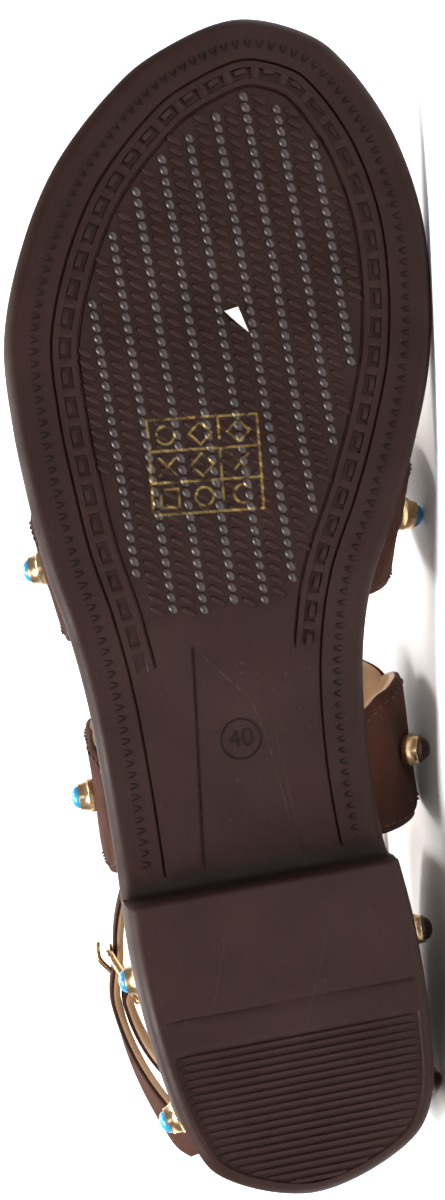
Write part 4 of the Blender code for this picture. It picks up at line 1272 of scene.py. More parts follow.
letters = bpy.data.curves.new("size_number", "FONT")
letters.body = "40"
letters.size = LETTER_HEIGHT
letters.align_x, letters.align_y = "CENTER", "CENTER"
letters.extrude = LETTER_RISE
letters.bevel_depth = LETTER_BEVEL
letters.offset = LETTER_THINNED
letters_holder = bpy.data.objects.new("size_number_curve", letters)
bpy.context.scene.collection.objects.link(letters_holder)
bpy.context.view_layer.update()
graph = bpy.context.evaluated_depsgraph_get()
number_mesh = bpy.data.meshes.new_from_object(letters_holder.evaluated_get(graph), depsgraph=graph)
bpy.data.objects.remove(letters_holder)
read_from_below = Matrix(((-1, 0, 0, 0), (0, 1, 0, 0), (0, 0, -1, 0), (0, 0, 0, 1)))
number_mesh.transform(Matrix.Translation((MARK_PLACE.x, MARK_PLACE.y, 0)) @ read_from_below)
for vertex in number_mesh.vertices:
    vertex.co.z += mark_level(vertex.co.y)
number_mesh.transform(TO_MODEL)
number_mesh.materials.clear()
as_piece(number_mesh, "size_number", [], [shaded_rubber])

# %% Scrap of paper stuck to the weave
SCRAP = (
    # X, Y and height over the tread, in mm
    (-11.2, 196.0, 0.42), (-14.4, 196.6, 0.36), (-15.9, 190.6, 0.30), (-13.3, 193.4, 0.40),
)
SCRAP_THICKNESS = 0.09


def paper_finish():
    made, tree, shader, place = new_finish("white_paper", 0.8)
    tone = blend_colours(tree, noise(tree, place, 500, 3), (0.80, 0.79, 0.78), (0.60, 0.58, 0.56))
    tree.links.new(tone, shader.inputs["Base Color"])
    bump(tree, shader, noise(tree, place, 900, 3), 0.05 * MM)
    return made


def scrap_points():
    """The scrap's corners on its inner face and on its outer one, which stand out from the beads."""
    rows = []
    for gap in (0.0, SCRAP_THICKNESS):
        for x, y, rise in SCRAP:
            rows.append((x * MM, y * MM, float(tread_height(y * MM)) - (rise + gap) * MM))
    return rows


scrap_faces = [(0, 1, 2, 3), (4, 5, 6, 7), *[(i, (i + 1) % 4, 4 + (i + 1) % 4, 4 + i) for i in range(4)]]
scrap_mesh = closed_mesh("paper_scrap", scrap_points(), scrap_faces)
as_piece(scrap_mesh, "paper_scrap", [], [paper_finish()])

# %% [markdown]
# ## Insole
#
# The insole is a board wrapped in tan leather. Its edge is rounded, and years of feet would press a
# shallow bed for heel and ball into it; this one has only a hint of that. It is a set of rings like the
# sole, closed by a grid, so that the bed can be a smooth function of the place.

# %% Insole with a shallow bed
INSOLE_THICKNESS = 3 * MM
STRAP_THICKNESS = 2.9 * MM
BED_DEPTH = 0.5 * MM
BED_HOLLOWS = (
    # X and Y of the middle, half width, half length
    (-0.5 * MM, 34 * MM, 17 * MM, 22 * MM),
    (-10 * MM, 182 * MM, 26 * MM, 26 * MM),
)
INSOLE_EDGE = (
    # inset and height in mm, from the inside of the lower face round the edge to the upper one
    (6.0, 0.0), (0.9, 0.0), (0.25, 0.15), (0.0, 0.6), (0.0, 1.9), (0.25, 2.55), (0.9, 2.9), (1.8, 3.0),
    (6.0, 3.0),
)
INSOLE_ACROSS = 26


def insole_level(x, y):
    """Height of the insole's upper face, with the bed that is pressed under heel and ball."""
    bed = sum(
        np.exp(-(((x - middle_x) / wide) ** 2 + ((y - middle_y) / long) ** 2))
        for middle_x, middle_y, wide, long in BED_HOLLOWS
    )
    return top_height(y) + CLEARANCE + INSOLE_THICKNESS - BED_DEPTH * bed


def build_insole():
    inset = SOLE_RIM + STRAP_THICKNESS + CLEARANCE
    few = stations[::2]
    if few[-1] != stations[-1]:
        few = np.append(few, stations[-1])
    rings = []
    for more, height in INSOLE_EDGE:
        plan = outline_ring(inset + more * MM, few)
        if height * MM < INSOLE_THICKNESS:
            z = top_height(plan[:, 1]) + CLEARANCE + height * MM
        else:
            z = insole_level(plan[:, 0], plan[:, 1])
        rings.append(np.column_stack([plan, z]))
    points, faces = filled_body(rings, len(rings) - 1, 0, INSOLE_ACROSS, insole_level)
    return closed_mesh("leather_insole", points, faces)


as_piece(build_insole(), "leather_insole", ["insole"], [tan_leather])

# %% [markdown]
# ## Straps over the foot
#
# Each strap is suede glued to a thin leather lining, with a scalloped edge of five lobes. The surface
# runs in two directions, over the foot and across the strap's width, so it is made as a grid. Both faces
# come from the same grid, which keeps the wall even, and the cut edge bulges a little between them.
# The creases are placed where such a strap bends: low beside the sole and next to the studs.
# A cloth simulation would put them anywhere, and a strap's creases are always in the same few places.

# %% Sizes of the straps
INSTEP_HEIGHT = 61 * MM
NOTCH_DEPTH = 5 * MM
FIRM_STRETCH = 2.4 * MM
LOBES = 5
LAST = (
    # station, height, lateral lean, medial lean, ridge
    (0.25, 1.20, 0.06, 0.43, 0.52), (0.34, 1.09, 0.07, 0.43, 0.53), (0.40, 1.00, 0.07, 0.41, 0.54),
    (0.50, 0.86, 0.05, 0.27, 0.56), (0.57, 0.76, 0.04, 0.17, 0.57), (0.64, 0.67, 0.05, 0.12, 0.58),
    (0.72, 0.57, 0.06, 0.10, 0.58),
)
STRAPS = {
    # ends of the middle line as stations, how far ahead it passes over the foot, width
    "front_strap": (0.538, 0.538, 0.075, 29 * MM),
    "instep_strap": (0.338, 0.332, 0.055, 32 * MM),
}
CREASES = {
    # share over the foot, slope across the width, width, depth (a ridge is negative)
    "front_strap": (
        (0.055, 0.4, 1.6, 0.45), (0.085, -0.3, 1.8, -0.35), (0.30, 0.5, 3.0, 0.30), (0.345, 0.5, 2.4, -0.25),
        (0.62, -0.6, 3.2, 0.28), (0.90, 0.2, 1.8, 0.45), (0.94, -0.4, 1.6, -0.35),
    ),
    "instep_strap": (
        (0.045, 0.3, 1.7, 0.45), (0.075, -0.4, 2.0, -0.40), (0.26, 0.7, 3.2, 0.32), (0.44, -0.5, 3.5, 0.25),
        (0.70, 0.6, 3.2, 0.30), (0.915, 0.3, 1.9, 0.50), (0.95, -0.3, 1.6, -0.35),
    ),
}

# %% Surface over the foot
LOWER_PULL = 0.30
UPPER_PULL = 0.35


def foot_section(y, count=61):
    """Inner face of a strap at a station, from the lateral seat over the foot to the medial seat."""
    station = y / SOLE_LENGTH
    rim = SOLE_RIM + STRAP_THICKNESS
    lateral = side_x(LATERAL_SIDE, y) - rim
    medial = side_x(MEDIAL_SIDE, y) + rim
    height = INSTEP_HEIGHT * smooth(LAST, 1, station) + INSOLE_THICKNESS
    ridge = lateral + (medial - lateral) * smooth(LAST, 4, station)
    base = top_height(y) + CLEARANCE + FIRM_STRETCH
    t = np.linspace(0, 1, count)[:, None]
    halves = []
    for foot, lean_share in ((lateral, smooth(LAST, 2, station)), (medial, smooth(LAST, 3, station))):
        out = math.copysign(lean_share * BALL_WIDTH, foot - ridge)
        corner = np.array((
            (foot, base), (foot + out, base + LOWER_PULL * height),
            (foot + UPPER_PULL * (ridge - foot), base + height), (ridge, base + height),
        ))
        halves.append(
            corner[0] * (1 - t) ** 3 + corner[1] * 3 * t * (1 - t) ** 2
            + corner[2] * 3 * t**2 * (1 - t) + corner[3] * t**3
        )
    curve = np.vstack([halves[0], halves[1][-2::-1]])
    length = np.concatenate([[0], np.cumsum(np.linalg.norm(np.diff(curve, axis=0), axis=1))])
    return curve, length / length[-1]


def on_foot(y, share):
    curve, length = foot_section(y)
    return np.array((np.interp(share, length, curve[:, 0]), y, np.interp(share, length, curve[:, 1])))


def strap_middle(name, share):
    lateral, medial, over, _ = STRAPS[name]
    return SOLE_LENGTH * (lateral + (medial - lateral) * share + over * math.sin(math.pi * share))


def lobe(share):
    """Scallop shape: 0 at a notch, 1 at the middle of each lobe."""
    across = 2 * ((share * LOBES) % 1) - 1
    return math.sqrt(max(0.0, 1 - across**2))


def lobe_shares(per_lobe=26):
    """Shares of the way over the foot, crowded towards the notches."""
    inside = (1 - np.cos(np.linspace(0, math.pi, per_lobe + 1))) / 2
    return np.unique(np.concatenate([(k + inside) / LOBES for k in range(LOBES)]).round(9))


# %% From a grid to a wall with two faces
ROUNDED_FROM = 0.86
ROUNDED_BY = 0.16
EDGE_BULGE = (
    # share of the wall's thickness, how far it bulges in mm
    (0.30, 0.2625), (0.55, 0.35), (0.82, 0.21),
)


def grid_normals(grid, away_from):
    """Directions out of a grid's surface, away from a point inside the shoe."""
    across = np.gradient(grid, axis=0)
    along = np.gradient(grid, axis=1)
    normal = np.cross(along, across)
    length = np.linalg.norm(normal, axis=2)
    normal /= np.maximum(length, 1e-12)[..., None]
    outward = np.sum(normal * (grid - away_from), axis=2)
    return normal * (-1 if np.sum(np.sign(outward)) < 0 else 1)


def walled(name, grid, normal):
    """A closed wall on a grid: lining inside, suede outside, and a bulging edge between them."""
    rows, columns = grid.shape[:2]
    v = np.abs(np.linspace(-1, 1, rows))[:, None]
    thin = 1 - ROUNDED_BY * ramp(v, ROUNDED_FROM, 1.0) ** 2
    outer = grid + normal * (STRAP_THICKNESS * thin)[..., None]
    ring = [(0, c) for c in range(columns)] + [(r, columns - 1) for r in range(1, rows)]
    ring += [(rows - 1, c) for c in range(columns - 2, -1, -1)] + [(r, 0) for r in range(rows - 2, 0, -1)]
    r_index, c_index = np.array(ring).T
    inward_r = np.clip(r_index, 1, rows - 2)
    beyond = grid[r_index, c_index] - grid[inward_r, c_index]
    size = np.linalg.norm(beyond, axis=1)[:, None]
    beyond = np.where(size > 1e-9, beyond / np.maximum(size, 1e-9), 0)
    edges = []
    for share, bulge in EDGE_BULGE:
        wall = grid[r_index, c_index] * (1 - share) + outer[r_index, c_index] * share
        edges.append(wall + beyond * bulge * MM)
    per = rows * columns
    points = np.vstack([grid.reshape(-1, 3), outer.reshape(-1, 3), *edges])
    faces = grid_faces(rows, columns)
    finishes = [1] * len(faces)
    outside = grid_faces(rows, columns, first=per)
    faces += outside
    finishes += [0] * len(outside)
    around = len(ring)
    rim = [[r * columns + c for r, c in ring]]
    rim += [list(range(2 * per + k * around, 2 * per + (k + 1) * around)) for k in range(3)]
    rim.append([per + r * columns + c for r, c in ring])
    for level, (low, high) in enumerate(zip(rim, rim[1:])):
        for i in range(around):
            j = (i + 1) % around
            faces.append((low[i], low[j], high[j], high[i]))
            finishes.append(1 if level < 2 else 0)
    return closed_mesh(name, points, faces, finishes)


def creased(name, share, across, length):
    """Depth of the listed creases at a place on a strap."""
    depth = 0.0
    for at, slope, width, deep in CREASES[name]:
        off = (share - at) * length - slope * across
        depth += deep * MM * math.exp(-((off / (width * MM)) ** 2))
    return depth


# %% Build both straps
STRAP_LENGTH = 165 * MM
STUD_DIMPLE = 0.35 * MM
DIMPLE_RADIUS = 5.5 * MM


def strap_grid(name, rows=15):
    """Inner face of a strap, row by row across its width, with its scalloped edges."""
    width = STRAPS[name][3]
    shares = lobe_shares()
    grid = []
    for row in np.linspace(-1, 1, rows):
        line = []
        for share in shares:
            half = width / 2 - NOTCH_DEPTH * (1 - lobe(share))
            line.append(on_foot(strap_middle(name, share) + row * half, share))
        down = np.array((0, 0, FIRM_STRETCH))
        grid.append([line[0] - down, *line, line[-1] - down])
    return np.array(grid), [shares[0], *shares, shares[-1]], width


def build_strap(name):
    grid, shares, width = strap_grid(name)
    middle = strap_middle(name, 0.5)
    inside = np.array((0.0, middle, float(top_height(middle)) + 0.3 * INSTEP_HEIGHT))
    normal = grid_normals(grid, inside)
    rows = grid.shape[0]
    for r in range(rows):
        across = (2 * r / (rows - 1) - 1) * width / 2
        for c, share in enumerate(shares):
            calm = ramp(share, 0, 0.02) * (1 - ramp(share, 0.98, 1.0))
            off = (((share * LOBES) % 1) - 0.5) / LOBES * STRAP_LENGTH
            dimple = STUD_DIMPLE * math.exp(-(off**2 + across**2) / DIMPLE_RADIUS**2)
            sink = (creased(name, share, across, STRAP_LENGTH) + dimple) * float(calm)
            grid[r, c] -= normal[r, c] * sink
    mesh = walled(name, grid, normal)
    as_piece(mesh, "suede_" + name, [name], [brown_suede, tan_leather], sharp=60)
    return grid, normal


strap_surfaces = {name: build_strap(name) for name in STRAPS}

# %% [markdown]
# ## Heel counter
#
# The counter wraps the heel in the same suede. Five scallops make its upper edge, and a narrow tab rises
# at the back to carry the ankle strap's keeper. It is a grid too: round the heel in one direction, and up
# from the sole to the scalloped edge in the other.

# %% Surface of the counter
COUNTER_LENGTH = 66 * MM
COUNTER_HEIGHT = 62 * MM
COUNTER_LEAN = 3.5 * MM
TAB_HALF_WIDTH = 6.5 * MM
TAB_SIDE = 2 * MM
TAB_RISE = 74 * MM
UPPER_LEAN = 0.07
INSIDE_COUNTER = (0.0, 45 * MM, 50 * MM)
CORNER_FOLD = 0.35 * MM
COUNTER_WAVE = 0.3 * MM
COUNTER_WALL = (
    # height, bulge, lean
    (0.00, 0.00, 0.00), (0.09, 0.60, 0.00), (0.23, 1.00, 0.00), (0.42, 0.90, 0.15), (0.62, 0.55, 0.50),
    (0.82, 0.25, 0.85), (1.00, 0.10, 1.00), (1.30, 0.00, 1.00),
)
COUNTER_ROUND = (
    # share, bulge, notch height
    (0.00, -3.0 * MM, 22 * MM), (0.20, -1.5 * MM, 27 * MM), (0.40, 0.8 * MM, 38 * MM),
    (0.60, 3.2 * MM, 38 * MM), (0.80, 5.3 * MM, 27 * MM), (1.00, 4.8 * MM, 22 * MM),
)


def counter_plan():
    """Plan curve of the sole's edge behind the counter's front edges, lateral to medial."""
    lateral = LATERAL_SIDE[LATERAL_SIDE[:, 1] < COUNTER_LENGTH][::-1]
    medial = MEDIAL_SIDE[MEDIAL_SIDE[:, 1] < COUNTER_LENGTH][1:]
    ends = [(side_x(side, COUNTER_LENGTH), COUNTER_LENGTH) for side in (LATERAL_SIDE, MEDIAL_SIDE)]
    curve = np.vstack([ends[:1], lateral, medial, ends[1:]])
    length = np.concatenate([[0], np.cumsum(np.linalg.norm(np.diff(curve, axis=0), axis=1))])
    return curve, length


COUNTER_CURVE, COUNTER_LENGTHS = counter_plan()
COUNTER_AROUND = COUNTER_LENGTHS[-1]


def around_heel(share):
    travelled = share * COUNTER_AROUND
    return np.array([np.interp(travelled, COUNTER_LENGTHS, COUNTER_CURVE[:, k]) for k in (0, 1)])


def on_counter(share, height):
    """Point of the counter's inner face: a share of the way round, at a height above its seat."""
    along = around_heel(share + 0.002) - around_heel(share - 0.002)
    here = around_heel(share)
    outward = np.array((-along[1], along[0])) / np.linalg.norm(along)
    rise = max(0.0, height - FIRM_STRETCH)
    level = rise / COUNTER_HEIGHT
    reach = (
        smooth(COUNTER_ROUND, 1, share) * smooth(COUNTER_WALL, 1, level)
        - COUNTER_LEAN * smooth(COUNTER_WALL, 2, level) - SOLE_RIM - STRAP_THICKNESS
    )
    plan = here + outward * reach
    z = top_height(max(here[1], 0.0)) + CLEARANCE + height
    return np.array((plan[0] - UPPER_LEAN * rise, plan[1], float(z)))


def counter_top(share):
    """Height of the counter's edge above its seat: scallops, and the tab at the back."""
    scallop = smooth(COUNTER_ROUND, 2, share) + NOTCH_DEPTH * lobe(share)
    off = abs(share - 0.5) * COUNTER_AROUND - TAB_HALF_WIDTH
    return scallop + (TAB_RISE - scallop) * max(0.0, min(1.0, 1 - off / TAB_SIDE))


def build_counter(rows=21):
    tab = [TAB_HALF_WIDTH + extra * TAB_SIDE for extra in (-0.5, 0, 0.33, 0.66, 1.0)]
    beside = [0.5 + side * off / COUNTER_AROUND for off in tab for side in (-1, 1)]
    even = lobe_shares(18)
    away = [s for s in even if min(abs(s - b) for b in beside) > 0.5 * MM / COUNTER_AROUND]
    shares = sorted(away + beside)
    grid = [[on_counter(s, 0.0) for s in shares]]
    for level in np.linspace(0, 1, rows):
        heights = [FIRM_STRETCH + level * (counter_top(s) - FIRM_STRETCH) for s in shares]
        grid.append([on_counter(s, h) for s, h in zip(shares, heights)])
    grid = np.array(grid)
    normal = grid_normals(grid, np.array(INSIDE_COUNTER))
    normal[0] = normal[1]
    for r in range(2, len(grid)):
        level = (r - 1) / (rows - 1)
        for c, share in enumerate(shares):
            # a slanted fold near each front corner, and a slow wave round the heel
            wave = CORNER_FOLD * math.exp(-(((share - 0.13) * 18 - level) ** 2) * 9)
            wave += CORNER_FOLD * math.exp(-(((0.86 - share) * 18 - level) ** 2) * 9)
            wave += COUNTER_WAVE * math.exp(-((level - 0.42) ** 2) * 60) * math.sin(share * 31)
            grid[r, c] -= normal[r, c] * wave * ramp(level, 0.05, 0.2)
    mesh = walled("heel_counter", grid, normal)
    finishes = [brown_suede, tan_leather]
    as_piece(mesh, "suede_heel_counter", ["heel_counter"], finishes, sharp=60)
    return grid, normal


counter_grid, counter_normal = build_counter()

# %% [markdown]
# ## Stitches along the scallops
#
# A row of short stitches holds suede and lining together just inside every scalloped edge. The path of a
# row is read off the strap's own surface, and the first tree sets a stitch on it every two and a half
# millimetres.

# %% Stitch rows
STITCH_PITCH = 2.5 * MM
STITCH_INSET = 1.7 * MM
stitch_shape = knob(
    "stitch", ((-0.15 * MM, 0.8), (0.06 * MM, 1.0), (0.20 * MM, 0.85), (0.28 * MM, 0.45)),
    1.7 * MM, 0.55 * MM, corners=8,
)


def surface_row(grid, normal, row_share, columns=slice(None)):
    """A line on a wall's outer face at a share of the way across it."""
    rows = grid.shape[0]
    at = np.clip(row_share, 0, 1) * (rows - 1)
    low = np.minimum(np.floor(at).astype(int), rows - 2)
    part = (at - low)[:, None]
    index = np.arange(grid.shape[1])
    here = grid[low, index] * (1 - part) + grid[low + 1, index] * part
    out = normal[low, index] * (1 - part) + normal[low + 1, index] * part
    out /= np.linalg.norm(out, axis=1)[:, None]
    return (here + out * STRAP_THICKNESS)[columns], out[columns]


def stitch_paths():
    paths, outs = [], []
    for name, (grid, normal) in strap_surfaces.items():
        width = np.linalg.norm(grid[-1] - grid[0], axis=1)
        for side in (0, 1):
            share = np.abs(side - STITCH_INSET / width)
            here, out = surface_row(grid, normal, share, slice(3, -3))
            paths.append(here)
            outs.append(out)
    height = np.linalg.norm(counter_grid[-1] - counter_grid[0], axis=1)
    here, out = surface_row(counter_grid, counter_normal, 1 - STITCH_INSET / height, slice(2, -2))
    paths.append(here)
    outs.append(out)
    return paths, outs


copies(
    "edge_stitches", ALONG_PATH, path_base(*stitch_paths()), stitch_shape, waxed_thread, "brown_suede",
    Spacing=STITCH_PITCH,
)

# %% [markdown]
# ## Studs and stones
#
# A stud is a turned metal cone with a milled rim, and a polished stone sits in its cup. All are the same,
# so each is turned once, and the second tree sets them at the places that the CAD model's nodes have.
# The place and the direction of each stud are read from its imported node, which saves working out the
# strap's surface a second time.

# %% Turned shapes
STUD_RADIUS = 4 * MM
STUD_HEIGHT = 3.2 * MM
STONE_RADIUS = 2.7 * MM
STONE_HEIGHT = 5.1 * MM


def turned_shape(name, outline, steps=28, milled=()):
    """A shape turned round Z from (radius, height) pairs; milled pairs get a wavy radius."""
    rings = []
    for i, (radius, height) in enumerate(outline):
        ring = []
        for k in range(steps):
            angle = 2 * math.pi * k / steps
            r = radius * (0.965 if i in milled and k % 2 else 1.0)
            ring.append((r * math.cos(angle), r * math.sin(angle), height))
        rings.append(ring)
    return lofted(name, rings)


cup = STONE_RADIUS + 0.12 * MM
setting_shape = turned_shape("setting", (
    (0.4 * MM, 1.8 * MM), (cup, 1.8 * MM), (cup, STUD_HEIGHT - 0.1 * MM), (cup + 0.1 * MM, STUD_HEIGHT),
    (cup + 0.38 * MM, STUD_HEIGHT - 0.05 * MM), (cup + 0.50 * MM, STUD_HEIGHT - 0.35 * MM),
    (cup + 0.42 * MM, STUD_HEIGHT - 0.75 * MM), (STUD_RADIUS - 0.30 * MM, 1.0 * MM),
    (STUD_RADIUS - 0.02 * MM, 0.75 * MM), (STUD_RADIUS, 0.15 * MM), (STUD_RADIUS - 0.1 * MM, -0.45 * MM),
    (0.4 * MM, -0.45 * MM),
), milled=(4, 5))
dome = STONE_HEIGHT - STUD_HEIGHT
stone_shape = turned_shape("stone", [
    (max(0.12 * MM, STONE_RADIUS * math.sin(a)), STUD_HEIGHT + dome * math.cos(a))
    for a in np.linspace(0.05, math.pi / 2, 8)
] + [(STONE_RADIUS, 2.2 * MM), (1.0 * MM, 2.1 * MM)], steps=24)

# %% Places of the studs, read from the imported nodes
DARK_STONES = {"front_strap": (2, 4), "instep_strap": (2, 5), "heel_counter": (4, 5)}


def stud_place(node_name):
    """Seat and outward direction of a packed stud: its flat base is the largest of its faces."""
    faces = frame["nodes"][node_name].data.polygons
    areas = {}
    for face in faces:
        key = tuple(round(c, 3) for c in face.normal)
        areas[key] = areas.get(key, 0.0) + face.area
    downwards = Vector(max(areas, key=areas.get)).normalized()
    base = [face for face in faces if face.normal.dot(downwards) > 0.9999]
    area = sum(face.area for face in base)
    centre = sum((face.center * face.area for face in base), Vector()) / area
    return centre, -sum((face.normal * face.area for face in base), Vector()).normalized()


def stud_points():
    seats = {"setting": [], "turquoise": [], "brown": []}
    for strap, dark in DARK_STONES.items():
        for number in range(1, LOBES + 1):
            base, axis = stud_place(f"stud_setting_{strap}_{number}")
            facing = TO_SHOE.to_3x3() @ axis
            row = (TO_SHOE @ base, facing.to_track_quat("Z", "Y").to_matrix())
            seats["setting"].append(row)
            seats["brown" if number in dark else "turquoise"].append(row)
    return seats


seats = stud_points()
for kind, shape, finish, slot in (
    ("setting", setting_shape, gold_plate, "gold_metal"),
    ("turquoise", stone_shape, turquoise_gloss, "turquoise"),
    ("brown", stone_shape, brown_gloss, "brown_stone"),
):
    rows = seats[kind]
    if kind == "setting":
        nodes = [f"stud_setting_{strap}_{n}" for strap in DARK_STONES for n in range(1, LOBES + 1)]
    else:
        nodes = [
            f"cabochon_{strap}_{n}" for strap, dark in DARK_STONES.items() for n in range(1, LOBES + 1)
            if (n in dark) == (kind == "brown")
        ]
    base = point_base([tuple(p) for p, _ in rows], [m for _, m in rows], [(1, 1, 1)] * len(rows))
    name = "stud_settings" if kind == "setting" else f"{kind}_stones"
    copies(name, AT_POINTS, base, shape, finish, slot, nodes, sharp=38, Uneven=0.0, Seed=1)

# %% [markdown]
# ## Ankle strap
#
# A narrow suede strap with a tan lining runs from the buckle round the ankle, through the keeper at the
# back, under the buckle's frame and past it as a free end. It was never pressed flat, so the free end
# curls inwards and twists. The strap is a rounded section swept along a plan curve. Blender's curve bevel
# could sweep it, but it could not give the two layers their own finish.

# %% Path of the ankle strap
ANKLE_HEIGHT = 64 * MM
ANKLE_STRAP_WIDTH = 13 * MM
ANKLE_STRAP_THICKNESS = 2.6 * MM
ANKLE_WIDTH = 67 * MM
ANKLE_DEPTH = 80 * MM
ANKLE_CLIMB = 6 * MM
FOLD_TURN = 0.36
FREE_END_LENGTH = 42 * MM
FREE_END_CURL = 0.25
FREE_END_TWIST = math.radians(35)
BUCKLE_WIRE = 2 * MM
BUCKLE_LENGTH = 13 * MM
BUCKLE_STATION = 0.137
BUCKLE_PLAY = 0.35 * MM
PIN_WIRE = 1.4 * MM
PIN_PATH = (
    # share of the way from bar to frame, level in thicknesses of the strap
    (0.30, 0.30), (0.62, 1.60), (0.88, 2.55), (1.12, 2.62),
)


def ankle_centre():
    low = ANKLE_HEIGHT - ANKLE_STRAP_WIDTH / 2
    tab = on_counter(0.5, low)
    return np.array((tab[0] + UPPER_LEAN * low, tab[1] - STRAP_THICKNESS - 3 * CLEARANCE + ANKLE_DEPTH / 2))


ANKLE_CENTRE = ankle_centre()


def ankle_point(turned, level):
    """Plan point at an angle from the lateral side, at a level outside the strap's inner face."""
    a, b = ANKLE_WIDTH / 2, ANKLE_DEPTH / 2
    outward = np.array((math.cos(turned) / a, math.sin(turned) / b))
    here = np.array((a * math.cos(turned), b * math.sin(turned)))
    return ANKLE_CENTRE + here + level * outward / np.linalg.norm(outward)


def ankle_z(y):
    back = ANKLE_CENTRE[1] - ANKLE_DEPTH / 2
    return float(top_height(0.0)) + ANKLE_HEIGHT + ANKLE_CLIMB * (y - back) / ANKLE_DEPTH


def ankle_angle(y):
    return math.asin((y - ANKLE_CENTRE[1]) / (ANKLE_DEPTH / 2))


def leaning(plan, z):
    """A point of the ankle strap, with the lean that the whole upper has."""
    return np.array((plan[0] - UPPER_LEAN * (z - float(top_height(0.0))), plan[1], z))


BAR_ANGLE = ankle_angle(SOLE_LENGTH * BUCKLE_STATION)
FRONT_ANGLE = ankle_angle(SOLE_LENGTH * BUCKLE_STATION + BUCKLE_LENGTH)
BAR_LEVEL = -(BUCKLE_WIRE / 2 + BUCKLE_PLAY)


def ankle_path():
    """Centre line of the strap in plan, and the tilt of its face at each point."""
    half = ANKLE_STRAP_THICKNESS / 2
    folded = BAR_LEVEL - (BUCKLE_WIRE / 2 + BUCKLE_PLAY + half)
    path = [ankle_point(BAR_ANGLE - FOLD_TURN * s, folded) for s in np.linspace(1, 0, 12)]
    centre = ankle_point(BAR_ANGLE, BAR_LEVEL)
    inner = ankle_point(BAR_ANGLE, folded) - centre
    for angle in np.linspace(0, math.pi, 17)[1:-1]:
        c, s = math.cos(angle), math.sin(angle)
        path.append(centre + np.array((inner[0] * c + inner[1] * s, inner[1] * c - inner[0] * s)))
    path += [ankle_point(t, half) for t in np.linspace(BAR_ANGLE, FRONT_ANGLE - 2 * math.pi, 121)]
    over = half + ANKLE_STRAP_THICKNESS + BUCKLE_PLAY
    for share in np.linspace(0, 1, 20)[1:]:
        ease = share * share * (3 - 2 * share)
        level = half + (over - half) * ease
        path.append(ankle_point(FRONT_ANGLE + (BAR_ANGLE - FRONT_ANGLE) * share, level))
    tilt = [0.0] * len(path)
    leave = (path[-1] - path[-2]) / np.linalg.norm(path[-1] - path[-2])
    inward = np.array((leave[1], -leave[0]))
    start = path[-1]
    for share in np.linspace(0, 1, 36)[1:]:
        straight = leave * FREE_END_LENGTH * share
        path.append(start + straight + inward * FREE_END_CURL * FREE_END_LENGTH * share**2)
        tilt.append(FREE_END_TWIST * share**1.5)
    return np.array(path), tilt


def strap_section():
    """Rounded section as (side, rise) pairs from the lining's face to the suede's, once around."""
    half, wall = ANKLE_STRAP_WIDTH / 2, ANKLE_STRAP_THICKNESS / 2
    soft = 0.45 * MM
    return [
        (-wall, -half + soft), (-wall, -half / 2), (-wall, 0), (-wall, half / 2), (-wall, half - soft),
        (-wall + 0.6 * soft, half - 0.1 * MM), (-0.1 * wall, half), (0.25 * wall, half),
        (wall - 0.6 * soft, half - 0.15 * MM), (wall, half - 1.5 * soft),
        (wall, half / 2), (wall, 0), (wall, -half / 2), (wall, -half + 1.5 * soft),
        (wall - 0.6 * soft, -half + 0.15 * MM), (0.25 * wall, -half), (-0.1 * wall, -half),
        (-wall + 0.6 * soft, -half + 0.1 * MM),
    ]


# sides of the section that the lining covers
LINED_SIDES = {0, 1, 2, 3, 4, 5, 15, 16, 17}
STRAP_WAVE = 0.22 * MM
STRAP_TIP = 6 * MM


def build_ankle_strap():
    path, tilt = ankle_path()
    along = np.gradient(path, axis=0)
    along /= np.linalg.norm(along, axis=1)[:, None]
    inward = np.stack([along[:, 1], -along[:, 0]], 1)
    section = strap_section()
    travelled = np.concatenate([[0], np.cumsum(np.linalg.norm(np.diff(path, axis=0), axis=1))])
    total = travelled[-1]
    points = []
    for here, into, angle, gone in zip(path, inward, tilt, travelled):
        left = (total - gone) / STRAP_TIP
        narrow = math.sqrt(max(0.16, 1 - (1 - left) ** 2)) if left < 1 else 1.0
        wave = STRAP_WAVE * math.sin(gone / (7.3 * MM)) * math.sin(gone / (23 * MM))
        c, s = math.cos(angle), math.sin(angle)
        for side, rise in section:
            rise = rise * narrow
            sideways = wave * (rise / ANKLE_STRAP_WIDTH * 2) ** 2 - side
            plan = here + into * (sideways * c - rise * s)
            points.append(leaning(plan, ankle_z(here[1]) + sideways * s + rise * c))
    count = len(section)
    faces = grid_faces(len(path), count, closed=True)
    finishes = [1 if k % count in LINED_SIDES else 0 for k in range(len(faces))]
    faces += [tuple(range(count)), tuple(range((len(path) - 1) * count, len(path) * count))]
    finishes += [1, 1]
    return closed_mesh("ankle_strap", points, faces, finishes)


# %% Punch the strap's holes
HOLE_RADIUS = 0.95 * MM
HOLE_PITCH = 7.5 * MM
HOLE_DEPTH = 7 * MM
SLOT_DEPTH = 9 * MM
SLOT_STRETCH = 3.2
PIN_HOLE = 0.52
FIRST_TURN = 60


